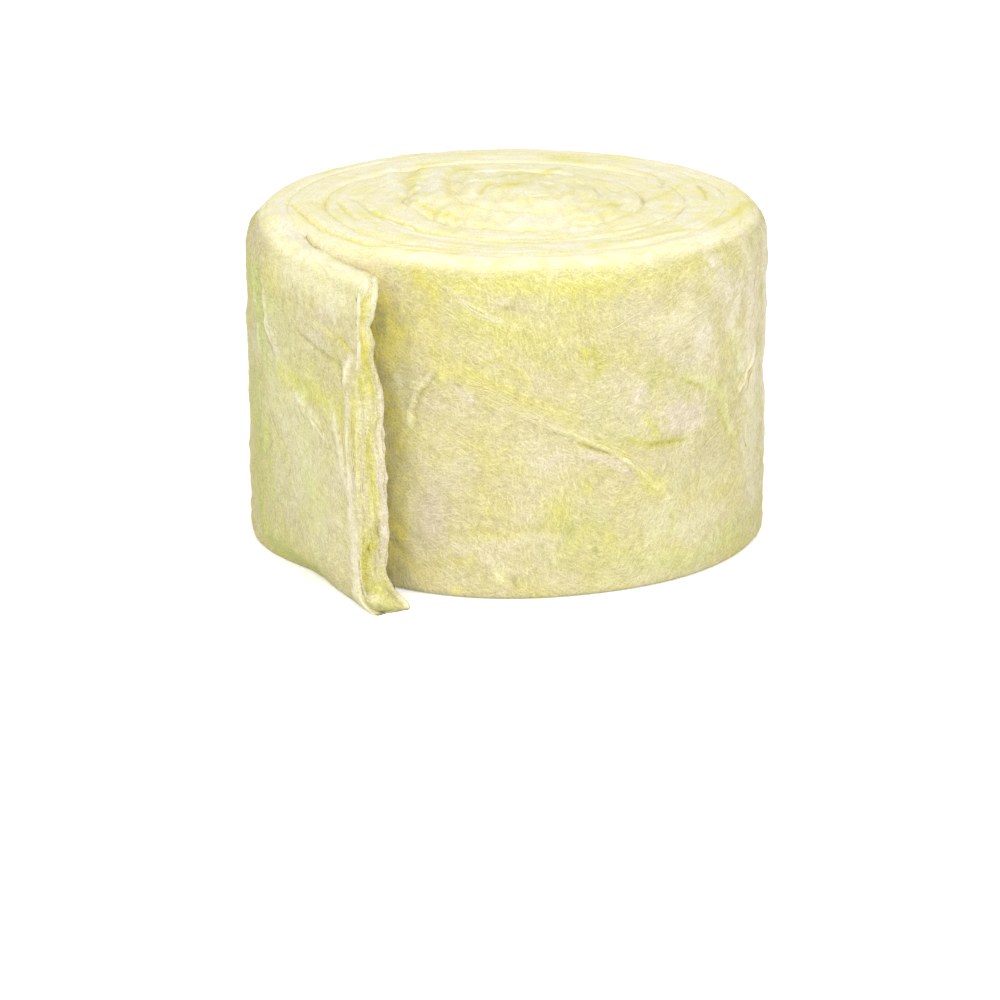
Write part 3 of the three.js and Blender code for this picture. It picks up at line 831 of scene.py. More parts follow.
def survey(mesh):
    """Where each point of the wound skin is, and how much of the wall, top, foot or torn end."""
    skin = SimpleNamespace(at=read(mesh, "co"), out=read(mesh, "normal"), step=read(mesh, "step"))
    at, out, step = skin.at, skin.out, skin.step
    angle = bearing_of(step, ROLL_RADIUS)
    faced = bearing_of(step, LOOSE_BEND_RADIUS)
    skin.radial = level(np.column_stack([np.cos(faced), np.sin(faced)]))
    skin.tangent = level(np.column_stack([-np.sin(faced), np.cos(faced)]))
    skin.top = smooth(out[:, 2], *FACING_UP) * smooth(at[:, 2], *TOP_HEIGHTS)
    skin.foot = smooth(-out[:, 2], *FACING_DOWN)
    skin.wall = smooth((out * skin.radial).sum(axis=1), *FACING_OUT) * (1 - skin.foot)
    last = smooth(step, LAST_STEP - 2, LAST_STEP)
    skin.end = last * (1 - skin.top) * (1 - skin.foot) * (1 - skin.wall)
    skin.bearing = np.degrees(angle)
    skin.radius = np.hypot(at[:, 0], at[:, 1])
    skin.beyond = np.linalg.norm(at[:, :2] - LOOSE_CENTRE, axis=1) - LOOSE_BEND_RADIUS
    skin.settled = settle(at)
    skin.on_wall = np.column_stack([angle * ROLL_RADIUS, at[:, 2]])
    skin.on_end = np.column_stack([skin.beyond + LOOSE_THICKNESS, at[:, 2]])
    skin.on_strip = np.column_stack([read(mesh, "along"), read(mesh, "girth")])
    return skin


def relief_of(skin, strokes):
    """How far each point of the skin is pushed out, in mm."""
    across, height = skin.on_end.T
    top_layers = swells(level(skin.on_strip), *TOP_LAYERS)
    torn_layers = swells(level(skin.on_end), *TORN_LAYERS)
    from_rim = smooth(np.minimum(across, LOOSE_THICKNESS - across), *TORN_RIM)
    relief = swells(skin.at, *SWELLS) * (1 - TOP_CALM * skin.top)
    relief = relief + TOP_LAYER_HEIGHT * top_layers * skin.top
    relief = relief + TORN_LAYER_HEIGHT * torn_layers * skin.end * from_rim
    crumpled = skin.top * fade(skin.radius, *CRUMPLED_RADII)
    relief += crumpled * CRUMPLE_HEIGHT * swells(skin.settled, *CRUMPLES)
    relief *= (1 - skin.foot) * smooth(height, *SWELL_HEIGHTS)
    relief += strokes * smooth(height, *STROKE_HEIGHTS)
    return relief * (1 - skin.top * fade(skin.radius, *CORE_CLOSED_RADII))


def move(mesh, skin, relief):
    """Settles the skin, pushes it out by the relief, and bends and sags the loose end."""
    height = skin.at[:, 2]
    moved = skin.settled + skin.out * (relief * MM)[:, None]
    moved[:, 2] -= droop(skin.at, skin.bearing)
    bend = np.interp(skin.bearing, *FOOT_BEND.T) * MM * fade(height, 0, FOOT_BEND_HEIGHT)
    inwards, outwards = smooth(skin.beyond, *FOOT_BEND_IN), smooth(skin.beyond, *FOOT_BEND_OUT)
    moved += skin.radial * (bend * np.where(bend < 0, inwards, outwards))[:, None]
    moved[:, 2] = np.maximum(moved[:, 2], 0)
    mesh.vertices.foreach_set("co", np.float32(moved).ravel())
    mesh.update()


def write_lay(mesh, skin, channels):
    """Writes how the fibres lie, and how much they lie in one way."""
    turns = (by * smooth(skin.bearing, low, high) for by, low, high in LEAN_TURNS)
    sweep = (sum(turns, LEAN_FIRST) + swells(skin.at, LEAN_WANDER)) * (1 - skin.top)
    combed = np.clip(channels["comb"], 0, 1)
    headed = np.arctan2(channels["heading"][:, 1], channels["heading"][:, 0])
    sweep = np.where(combed > COMBED, headed, sweep)
    side = np.cross(skin.out, skin.tangent)
    write(mesh, "lay", skin.tangent * np.cos(sweep)[:, None] + side * np.sin(sweep)[:, None])
    write(mesh, "sweep", sweep)
    write(mesh, "order", np.maximum(combed, TOP_ORDER * skin.top))
    write(mesh, "out", read(mesh, "normal"))


def roughen(mesh):
    """Pushes the skin in and out as torn wool, and writes how its fibres lie and its tints."""
    skin = survey(mesh)
    channels = {name: np.zeros(len(skin.at)) for name in CHANNELS}
    channels["heading"] = np.zeros((len(skin.at), 2))
    paint(STROKES, skin.on_wall, wall_plane, skin.wall, channels)
    paint(TOP_STROKES, skin.settled[:, :2], top_plane, skin.top, channels)
    paint(END_STROKES, skin.on_end, end_plane, skin.end, channels)
    move(mesh, skin, relief_of(skin, channels["relief"]))
    write_lay(mesh, skin, channels)
    # where the skin faces straight up it takes the pale crown colour: partly its own, partly
    # painted light
    write(mesh, "top", skin.top * smooth(skin.out[:, 2], *FACING_UP_PALE_AND_LIT))
    write(mesh, "torn", skin.end)
    for name in TINTS:
        write(mesh, name, np.clip(channels[name], 0, 1))
    return skin


# ------------------------------------------------------------------------ building nodes


FLOAT, COLOUR, VECTOR = "NodeSocketFloat", "NodeSocketColor", "NodeSocketVector"
GEOMETRY, MATERIAL = "NodeSocketGeometry", "NodeSocketMaterial"


class Nodes:
    """Adds nodes to a tree, with each input given as a value or as another node's output."""

    def __init__(self, tree):
        self.tree = tree

    def add(self, kind, inputs=None, **settings):
        node = self.tree.nodes.new(kind)
        for name, value in settings.items():
            setattr(node, name, value)
        for name, value in (inputs or {}).items():
            self.feed(node.inputs[name], value)
        return node

    def first(self, kind, inputs=None, **settings):
        """The first output of a new node."""
        return self.add(kind, inputs, **settings).outputs[0]

    def feed(self, socket, value):
        if isinstance(value, bpy.types.NodeSocket):
            self.tree.links.new(value, socket)
        else:
            socket.default_value = value

    def math(self, operation, *values):
        return self.first("ShaderNodeMath", dict(enumerate(values)), operation=operation)

    def times(self, value, *others):
        for other in others:
            value = self.math("MULTIPLY", value, other)
        return value

    def vector(self, operation, *values):
        sockets = (0, "Scale") if operation == "SCALE" else (0, 1)
        inputs = dict(zip(sockets, values))
        return self.first("ShaderNodeVectorMath", inputs, operation=operation)

    def mix(self, share, first, second, blend="MIX"):
        """A mix of two colours."""
        inputs = {0: share, 6: first, 7: second}
        return self.add("ShaderNodeMix", inputs, data_type="RGBA", blend_type=blend).outputs[2]

    def between(self, share, first, second):
        """A mix of two numbers."""
        return self.first("ShaderNodeMix", {0: share, 2: first, 3: second}, data_type="FLOAT")

    def ramp(self, value, low, high, to_low=0.0, to_high=1.0):
        ends = {"From Min": low, "From Max": high, "To Min": to_low, "To Max": to_high}
        return self.first("ShaderNodeMapRange", {"Value": value} | ends)

    def cloud(self, vector, scale, detail, **others):
        """A noise texture's value."""
        inputs = {"Vector": vector, "Scale": scale, "Detail": detail} | others
        return self.add("ShaderNodeTexNoise", inputs).outputs["Fac"]

    def known(self, name):
        """An attribute of the surface, in a material."""
        return self.add("ShaderNodeAttribute", attribute_name=name).outputs["Fac"]

    def named(self, name, kind="FLOAT"):
        """An attribute of the geometry, in a geometry tree."""
        node = self.add("GeometryNodeInputNamedAttribute", {"Name": name}, data_type=kind)
        return node.outputs["Attribute"]


def new_tree(name, kind, inputs, outputs):
    """A node tree with these named sockets: {name: (socket kind, default value)}."""
    tree = bpy.data.node_groups.new(name, kind)
    for direction, sockets in (("INPUT", inputs), ("OUTPUT", outputs)):
        for label, (socket_kind, default) in sockets.items():
            socket = tree.interface.new_socket(label, in_out=direction, socket_type=socket_kind)
            if default is not None:
                socket.default_value = default
    nodes = Nodes(tree)
    return nodes, nodes.add("NodeGroupInput").outputs, nodes.add("NodeGroupOutput").inputs


# -------------------------------------------------------------------------- the fibres

# A fibre's body is a narrow ridge that tapers to its ends, which sink in by a share of its
# thickness. Its bends are noise of this scale, which differs from fibre to fibre.
FIBRE_POINTS = 5
RIDGE_SIDES = 3
RIDGE_WIDTH = 0.35
TAPER_END = 0.8
SLIMMEST = 0.25
SUNK = 0.5
BEND_SCALE = 120.0
BEND_APART = 9.0
NOISE_MIDDLE = (0.5, 0.5, 0.5)

# Most fibres are near the shortest, and a few are near the longest. A few are stout.
LENGTH_RARITY = 3.5
STOUT_RARITY = 8.0
SLIM_BUILD = 0.7
STOUT_BUILD = 0.9

SPENT = ("lay", "out", "order", "build", "step", "along", "girth", "sweep")


def pressed_fibres():
    """Geometry group: bends strands, presses them on to the wool and gives them their bodies."""
    inputs = {
        "Strands": (GEOMETRY, None),
        "Wool": (GEOMETRY, None),
        "Thickness": (FLOAT, 0.2 * MM),
        "Bend": (FLOAT, 10 * MM),
        "Lift": (FLOAT, 0.5 * MM),
        "Finish": (MATERIAL, None),
    }
    outputs = {"Fibres": (GEOMETRY, None)}
    nodes, given, result = new_tree("pressed fibres", "GeometryNodeTree", inputs, outputs)
    place = nodes.first("GeometryNodeInputPosition")
    own = nodes.times(nodes.named("tint"), BEND_APART)
    wave_at = nodes.vector("ADD", nodes.vector("SCALE", place, BEND_SCALE), own)
    wave = nodes.add("ShaderNodeTexNoise", {"Vector": wave_at, "Scale": 1.0, "Detail": 1.0})
    even = nodes.vector("SUBTRACT", wave.outputs["Color"], NOISE_MIDDLE)
    bent = nodes.vector("ADD", place, nodes.vector("SCALE", even, given["Bend"]))

    def nearest_wool(value):
        inputs = {"Mesh": given["Wool"], "Value": value, "Sample Position": bent}
        return nodes.first("GeometryNodeSampleNearestSurface", inputs, data_type="FLOAT_VECTOR")

    outwards = nearest_wool(nodes.named("out", "FLOAT_VECTOR"))
    run = nodes.add("GeometryNodeSplineParameter").outputs["Factor"]
    arch = nodes.math("SINE", nodes.times(run, math.pi))
    rise = nodes.times(arch, nodes.named("build"), given["Lift"])
    rise = nodes.math("SUBTRACT", rise, nodes.times(given["Thickness"], SUNK))
    laid = nodes.vector("ADD", nearest_wool(place), nodes.vector("SCALE", outwards, rise))
    placed = {"Geometry": given["Strands"], "Position": laid}
    turned = {"Curve": nodes.first("GeometryNodeSetPosition", placed), "Normal": outwards}
    strands = nodes.first("GeometryNodeSetCurveNormal", turned, mode="FREE")

    taper = nodes.ramp(arch, 0.0, TAPER_END, SLIMMEST)
    girth = nodes.times(given["Thickness"], nodes.named("build"), taper)
    ring = {"Resolution": RIDGE_SIDES, "Radius": 1.0}
    ring = nodes.first("GeometryNodeCurvePrimitiveCircle", ring)
    narrow = {"Geometry": ring, "Scale": (RIDGE_WIDTH, 1.0, 1.0)}
    ridge = nodes.first("GeometryNodeTransform", narrow)
    body = {"Curve": strands, "Profile Curve": ridge, "Scale": girth, "Fill Caps": True}
    fibres = {"Geometry": nodes.first("GeometryNodeCurveToMesh", body), "Shade Smooth": False}
    fibres = nodes.first("GeometryNodeSetShadeSmooth", fibres)
    for name in SPENT:
        fibres = nodes.first("GeometryNodeRemoveAttribute", {"Geometry": fibres, "Name": name})
    finished = {"Geometry": fibres, "Material": given["Finish"]}
    nodes.feed(result["Fibres"], nodes.first("GeometryNodeSetMaterial", finished))
    return nodes.tree


def press(nodes, given, result, pressed, strands, wool):
    """Ends a tree: its strands pressed on to the wool, realized and given their finish."""
    inputs = {name: given[name] for name in ("Thickness", "Bend", "Lift", "Finish")}
    inputs |= {"Strands": strands, "Wool": wool}
    fibres = nodes.first("GeometryNodeGroup", inputs, node_tree=pressed)
    realized = nodes.first("GeometryNodeRealizeInstances", {"Geometry": fibres})
    finished = {"Geometry": realized, "Material": given["Finish"]}
    nodes.feed(result["Fibres"], nodes.first("GeometryNodeSetMaterial", finished))


def grown_fibres(pressed):
    """Fibres that grow at random places on a mesh and lie along its own lay, or across it."""
    inputs = {
        "Wool": (GEOMETRY, None),
        "Fibres per Square Metre": (FLOAT, 30000.0),
        "Shortest": (FLOAT, 7 * MM),
        "Longest": (FLOAT, 34 * MM),
        "Thickness": (FLOAT, 0.19 * MM),
        "Spread": (FLOAT, 1.5),
        "Bend": (FLOAT, 10 * MM),
        "Lift": (FLOAT, 0.5 * MM),
        "Seed": ("NodeSocketInt", 1),
        "Finish": (MATERIAL, None),
    }
    outputs = {"Fibres": (GEOMETRY, None)}
    nodes, given, result = new_tree("grown fibres", "GeometryNodeTree", inputs, outputs)

    def chance(low, high, seed):
        """A random number for each fibre."""
        inputs = {2: low, 3: high, "Seed": nodes.math("ADD", given["Seed"], float(seed))}
        return nodes.add("FunctionNodeRandomValue", inputs, data_type="FLOAT").outputs[1]

    def keep(geometry, name, value):
        inputs = {"Geometry": geometry, "Name": name, "Value": value}
        return nodes.first("GeometryNodeStoreNamedAttribute", inputs, domain="POINT")

    scatter = {"Density": given["Fibres per Square Metre"], "Seed": given["Seed"]}
    scatter["Mesh"] = given["Wool"]
    roots = nodes.add("GeometryNodeDistributePointsOnFaces", scatter)
    order = nodes.named("order")
    disorder = nodes.math("SUBTRACT", 1.0, order)
    turn = nodes.times(given["Spread"], chance(-1.0, 1.0, 1), disorder)
    turned = {"Vector": nodes.named("lay", "FLOAT_VECTOR"), "Angle": turn}
    turned["Axis"] = roots.outputs["Normal"]
    heading = nodes.first("ShaderNodeVectorRotate", turned, rotation_type="AXIS_ANGLE")
    axes = {"Primary Axis": roots.outputs["Normal"], "Secondary Axis": heading}
    settings = {"primary_axis": "Z", "secondary_axis": "X"}
    stance = nodes.first("FunctionNodeAxesToRotation", axes, **settings)
    stout = nodes.times(nodes.math("POWER", chance(0.0, 1.0, 3), STOUT_RARITY), STOUT_BUILD)
    points = keep(roots.outputs["Points"], "tint", chance(0.0, 1.0, 2))
    points = keep(points, "build", nodes.math("ADD", SLIM_BUILD, stout))
    ends = {"Start": (-0.5, 0, 0), "End": (0.5, 0, 0)}
    line = {"Curve": nodes.first("GeometryNodeCurvePrimitiveLine", ends), "Count": FIBRE_POINTS}
    line = nodes.first("GeometryNodeResampleCurve", line)
    share = nodes.math("POWER", chance(0.0, 1.0, 4), LENGTH_RARITY)
    length = nodes.ramp(share, 0.0, 1.0, given["Shortest"], given["Longest"])
    length = nodes.times(length, nodes.math("ADD", 1.0, order))
    strands = {"Points": points, "Instance": line, "Rotation": stance, "Scale": length}
    strands = nodes.first("GeometryNodeInstanceOnPoints", strands)
    strands = nodes.first("GeometryNodeRealizeInstances", {"Geometry": strands})
    press(nodes, given, result, pressed, strands, given["Wool"])
    return nodes.tree


def drawn_fibres(pressed):
    """Fibres that follow lines drawn near the wool."""
    inputs = {
        "Lines": (GEOMETRY, None),
        "Wool": ("NodeSocketObject", None),
        "Thickness": (FLOAT, 0.3 * MM),
        "Bend": (FLOAT, 4 * MM),
        "Lift": (FLOAT, 0.4 * MM),
        "Finish": (MATERIAL, None),
    }
    outputs = {"Fibres": (GEOMETRY, None)}
    nodes, given, result = new_tree("drawn fibres", "GeometryNodeTree", inputs, outputs)
    wool = nodes.add("GeometryNodeObjectInfo", {"Object": given["Wool"]}).outputs["Geometry"]
    strands = nodes.first("GeometryNodeMeshToCurve", {"Mesh": given["Lines"]})
    press(nodes, given, result, pressed, strands, wool)
    return nodes.tree


def put(name, mesh):
    """A new object in the scene."""
    piece = bpy.data.objects.new(name, mesh)
    bpy.context.collection.objects.link(piece)
    return piece


def patch(mesh, keep):
    """A copy of the faces of a mesh whose points are all kept."""
    copy = mesh.copy()
    bm = bmesh.new()
    bm.from_mesh(copy)
    spare = [face for face in bm.faces if not all(keep[v.index] for v in face.verts)]
    bmesh.ops.delete(bm, geom=spare, context="FACES")
    bm.to_mesh(copy)
    bm.free()
    return copy


def run_tree(name, ground, tree, **values):
    """Runs a tree of fibres on a mesh and keeps the plain mesh that comes out."""
    piece = put(name, ground)
    grow = piece.modifiers.new("fibres", "NODES")
    grow.node_group = tree
    for item in tree.interface.items_tree:
        if item.in_out == "INPUT" and item.name in values:
            grow[item.identifier] = values[item.name]
    piece.update_tag()
    view = bpy.context.evaluated_depsgraph_get()
    mesh = bpy.data.meshes.new_from_object(piece.evaluated_get(view))
    mesh.name = name
    bpy.data.objects.remove(piece)
    return put(name, mesh)


# Thin torn sheets that stand along the torn end: a line of (height in mm, share of the
# thickness), how far they stand out in mm, how thick they are at the root in mm, their tints.
SHEETS = [
    ([(240, 0.02), (205, 0.05), (150, 0.03), (90, 0.04), (44, 0.03), (18, 0.05)], 2.6, 1.6,
        {"blush": 1.0}),
    ([(214, 0.62), (190, 0.56), (168, 0.6), (140, 0.66)], 2.6, 1.6, {"pale": 0.5}),
    ([(206, 0.34), (176, 0.36), (150, 0.3)], 2.0, 1.4, {"blush": 0.7}),
    ([(152, 0.78), (120, 0.82), (84, 0.8), (58, 0.74)], 2.4, 2.0, {"blush": 0.8}),
    ([(128, 0.26), (96, 0.24), (64, 0.3), (40, 0.26)], 2.4, 1.4, {"blush": 0.7}),
    ([(96, 0.56), (74, 0.52), (52, 0.56)], 2.6, 1.8, {"yellow": 0.5, "pale": 0.3}),
    ([(60, 0.62), (36, 0.6), (12, 0.62)], 2.0, 1.6, {"yellow": 0.8}),
    ([(184, 0.97), (140, 0.96), (80, 0.97), (30, 0.96), (6, 0.96)], 2.2, 2.0, {"blush": 0.6}),
    ([(50, 0.42), (30, 0.4), (10, 0.36)], 2.0, 1.6, {"blush": 0.6}),
]
SHEET_STEP = 2 * MM
SHEET_ROOT = 3 * MM

# A ring of points round a sheet, as (side, share of its stand). It is thinner at its lip.
SHEET_RING = np.array([(-1, 0), (-0.8, 0.55), (-0.25, 1), (0.25, 1), (0.8, 0.55), (1, 0)])
SHEET_LIP = 0.35
SHEET_RAG = ((1, 7, 31), (0.8, 22, 32))
SHEET_RAGGEDNESS = 0.9
SHEET_SWAY = ((1.6, 16, 33), (0.8, 6, 34))
SHEET_ROOT_SWAY = 0.4
SHEET_APART = 7 * MM
SHEET_NOISE_APART = 0.1


def sheet_rings(number, line, height, thickness):
    """One sheet: its points and their places on the strip, ring after ring along its line."""
    line = np.array(line, float)
    count = int(abs(line[-1, 0] - line[0, 0]) * MM / SHEET_STEP)
    z = np.linspace(line[0, 0], line[-1, 0], count) * MM
    share = np.interp(-z, -line[:, 0] * MM, line[:, 1])
    spot = level(np.column_stack([np.full(count, number * SHEET_NOISE_APART), z]))
    sway = swells(spot, *SHEET_SWAY)
    taper = np.sin(np.linspace(0, math.pi, count)) ** 0.5
    stand = height * MM * (1 + SHEET_RAGGEDNESS * swells(spot, *SHEET_RAG)) * taper
    points, places = [], []
    for k in range(count):
        base = place(LAST_STEP, np.array([(share[k] * LOOSE_THICKNESS, z[k])]))[0]
        aside = np.append(base[:2] - LOOSE_CENTRE, 0) / np.linalg.norm(base[:2] - LOOSE_CENTRE)
        ahead = np.array([-aside[1], aside[0], 0])
        for side, rise in SHEET_RING:
            half = side * (SHEET_LIP + (1 - SHEET_LIP) * (1 - rise)) * thickness * 0.5 * MM
            across = half + sway[k] * (SHEET_ROOT_SWAY + rise) * MM
            reach = -SHEET_ROOT + rise * (SHEET_ROOT + stand[k])
            points.append(base + aside * across + ahead * reach)
            places.append((LOOSE_LENGTH + across + number * SHEET_APART, z[k]))
    return points, places


def torn_sheets(name):
    """The sheets as closed ribbons, ragged and wavy along the edge that stands out."""
    points, faces, tints, places = [], [], [], []
    size = len(SHEET_RING)
    for number, (line, height, thickness, tint) in enumerate(SHEETS):
        first = len(points)
        sheet = sheet_rings(number, line, height, thickness)
        points.extend(sheet[0])
        places.extend(sheet[1])
        tints.extend([tint] * len(sheet[0]))
        last = len(points) - size
        for a in range(first, last, size):
            b = a + size
            ring = [(m, (m + 1) % size) for m in range(size)]
            faces.extend((a + m, a + n, b + n, b + m) for m, n in ring)
        faces.append(tuple(first + m for m in reversed(range(size))))
        faces.append(tuple(last + m for m in range(size)))
    points = np.array(points)
    points[:, 2] -= LOOSE_DROOP * smooth(points[:, 2], *DROOP_HEIGHTS)
    mesh = bpy.data.meshes.new(name)
    mesh.from_pydata(points.tolist(), [], faces)
    for channel in TINTS:
        write(mesh, channel, np.array([tint.get(channel, 0.0) for tint in tints]))
    unroll(mesh, places)
    mesh.shade_smooth()
    return put(name, mesh)


# Long pale fibres drawn on the outer face: a line of (bearing, height in mm), how many there
# are, and how far they spread to either side of it in mm.
WISPS = [
    ([(-110, 214), (-102, 197), (-96, 187), (-88, 171), (-80, 154), (-73, 140)], 26, 9),
    ([(-92, 180), (-83, 161), (-74, 144), (-66, 130), (-61, 115), (-57, 99), (-52, 85)], 26, 3.5),
    ([(-105, 284), (-102, 270), (-98, 261), (-96, 256), (-91, 249)], 9, 1.2),
    ([(-100, 272), (-96, 265)], 4, 1.0),
    ([(-94, 224), (-90, 212), (-87, 198)], 7, 0.8),
    ([(-86, 196), (-84, 188)], 3, 0.8),
    ([(-102, 227), (-99, 213)], 4, 0.8),
    ([(-110, 213), (-107, 203), (-105, 193), (-102, 185), (-98, 174)], 8, 1.0),
    ([(-42, 121), (-43, 105), (-43, 88), (-44, 78), (-45, 69), (-45, 56)], 16, 1.0),
    ([(-30, 108), (-34, 91), (-38, 82), (-42, 77)], 9, 0.8),
    ([(-23, 89), (-30, 74), (-34, 65)], 8, 0.8),
    ([(-33, 136), (-40, 125), (-44, 114)], 9, 1.0),
    ([(-27, 126), (-23, 94)], 5, 1.0),
    ([(-34, 142), (-41, 132)], 6, 1.6),
    ([(-20, 193), (-23, 179), (-27, 169), (-31, 148)], 12, 1.4),
    ([(-18, 178), (-22, 160), (-25, 146)], 7, 1.4),
    ([(-67, 277), (-61, 288)], 4, 1.2),
    ([(-59, 269), (-56, 276)], 3, 1.0),
    ([(-50, 252), (-42, 270), (-37, 284)], 12, 6),
    ([(-36, 236), (-28, 262), (-24, 282)], 12, 7),
    ([(-26, 200), (-18, 235), (-14, 262)], 10, 7),
    ([(-70, 240), (-58, 256), (-46, 272)], 8, 8),
    ([(-62, 212), (-50, 226), (-38, 246)], 8, 8),
    ([(-98, 42), (-95, 28)], 5, 1.6),
    ([(-66, 210), (-67, 203)], 3, 0.6),
    ([(-64, 211), (-65, 204)], 3, 0.6),
    ([(206, 226), (209, 212), (211, 200)], 6, 1.5),
    ([(219, 169), (223, 161), (227, 153), (231, 140)], 9, 1.2),
    ([(216, 262), (222, 244), (232, 230)], 6, 6),
    ([(204, 150), (209, 130), (214, 104)], 7, 7),
    ([(214, 90), (219, 66), (226, 40)], 7, 8),
    ([(240.6, 192), (240, 150), (240, 100)], 14, 3.0),
    ([(236, 186), (237.5, 150), (239, 96)], 14, 4.0),
    ([(-26, 160), (-22, 172), (-16, 188)], 12, 1.0),
    ([(-44, 272), (-38, 280), (-36, 290)], 10, 2.0),
    ([(-24, 90), (-28, 79), (-31, 70), (-34, 58), (-36, 46)], 10, 1.0),
]
WISP_POINTS = 18
WISP_STARTS = (0, 0.55)
WISP_SHORTEST = 0.3
WISP_SCATTER = 0.6
WISP_SLANT = 0.25
WISP_TINTS = (1.0, 1.7)
WISP_BUILD = 0.7
WISP_STOUTNESS = 1.8


def draw_wisps(rng):
    """The drawn fibres as a mesh of bare lines, each on its own stretch of its wisp."""
    points, edges, tints, builds = [], [], [], []
    for line, count, spread in WISPS:
        line = wall_plane(np.array(line, float))
        lengths = np.linalg.norm(np.diff(line, axis=0), axis=1)
        reach = np.concatenate([[0], np.cumsum(lengths)])
        for _ in range(count):
            start = rng.uniform(*WISP_STARTS)
            stop = rng.uniform(start + WISP_SHORTEST, 1.0)
            run = np.linspace(start, stop, WISP_POINTS) * reach[-1]
            flat = np.column_stack([np.interp(run, reach, line[:, k]) for k in range(2)])
            ahead = np.gradient(flat, axis=0)
            aside = np.column_stack([-ahead[:, 1], ahead[:, 0]])
            aside /= np.linalg.norm(aside, axis=1)[:, None]
            middle, slant = rng.normal(0, WISP_SCATTER), rng.normal(0, WISP_SLANT)
            offset = middle + slant * np.linspace(-1, 1, WISP_POINTS)
            flat += aside * (offset * spread * MM)[:, None]
            first = len(points)
            points.extend(on_wall(along, height) for along, height in flat)
            edges.extend((first + k, first + k + 1) for k in range(WISP_POINTS - 1))
            tints.extend([rng.uniform(*WISP_TINTS)] * WISP_POINTS)
            builds.extend([WISP_BUILD + WISP_STOUTNESS * rng.uniform() ** 3] * WISP_POINTS)
    mesh = bpy.data.meshes.new("wisps")
    mesh.from_pydata(points, edges, [])
    write(mesh, "tint", np.array(tints))
    write(mesh, "build", np.array(builds))
    return mesh


def on_wall(run, height):
    """A point of the smooth outer face from its place in the wall plane."""
    angle = run / ROLL_RADIUS
    if angle <= LIFT_OFF:
        radius = outer_radius(LIFT_STEP - (LIFT_OFF - angle) / STEP_ANGLE)
        return (radius * math.cos(angle), radius * math.sin(angle), height)
    angle = LIFT_OFF + (angle - LIFT_OFF) * ROLL_RADIUS / LOOSE_BEND_RADIUS
    x, y = LOOSE_CENTRE + LOOSE_BEND_RADIUS * np.array([math.cos(angle), math.sin(angle)])
    return (x, y, height)


# ------------------------------------------------------------------------ the finishes


def srgb(red, green, blue):
    """A colour written in 0-255 sRGB, as Blender's linear colour."""
    def linear(value):
        value /= 255
        return value / 12.92 if value <= 0.04045 else ((value + 0.055) / 1.055) ** 2.4
    return (linear(red), linear(green), linear(blue), 1.0)


PALE = srgb(222, 213, 184)
YELLOW = srgb(216, 207, 130)
LEMON = srgb(225, 219, 106)
OCHRE = srgb(250, 236, 110)
GREEN = srgb(209, 215, 136)
BLUSH = srgb(235, 223, 203)
FLUFF = srgb(245, 241, 216)
CROWN = srgb(246, 240, 213)
CROWN_YELLOW = srgb(241, 233, 162)
# painted shade that darkens the depth between fibres
DEPTH_SHADE = (0.70, 0.69, 0.59, 1.0)
SHADE = (0.66, 0.64, 0.52, 1.0)
WHITE = (1.0, 1.0, 1.0, 1.0)
FLOOR = (0.8, 0.8, 0.8, 1.0)

# The stains that are laid over the mottled wool by the tints of the skin, in this order. Some of
# the pale, blush and ochre is painted light that lightens shaded places.
STAINS_AND_PAINTED_LIGHT = {"yellow": LEMON, "blush": BLUSH, "green": GREEN, "ochre": OCHRE, "pale": FLUFF}
TINT_STRENGTH = 0.85

# Clouds that mottle the wool, as (scale, detail, low, high, roughness).
MOTTLE_CLOUD = (22.0, 4.0, 0.24, 0.76, 0.65)
BLUSH_CLOUD = (31.0, 4.0, 0.5, 0.75)
GREEN_CLOUD = (12.0, 3.0, 0.52, 0.7)
CROWN_CLOUD = (38.0, 4.0, 0.25, 0.75, 0.65)
GRAIN_CLOUD = (850.0, 1.0, 0.36, 0.64)

# How strong each of these is, and the range over which one colour gives way to the next.
BLUSH_SHARE, GREEN_SHARE, TORN_SHARE = 0.32, 0.28, 0.75
CROWN_LAYERED, CROWN_RANGE = 0.8, (0.3, 1.25)
SHEET_RANGE = (0.1, 0.9)
FLUFF_RANGE, FLUFF_SHARES = (0.9, 1.7), (0.0, 0.6)
# the range of the painted shade between fibres, and how far ochre and pale lift it as painted light
DEPTH_SHADE_RANGE = (0.0, 0.6)
OCHRE_FILL_LIGHT, PALE_FILL_LIGHT = 0.6, 0.4
GRAIN, OCHRE_GRAIN, TORN_GRAIN = 0.16, 0.1, 0.04


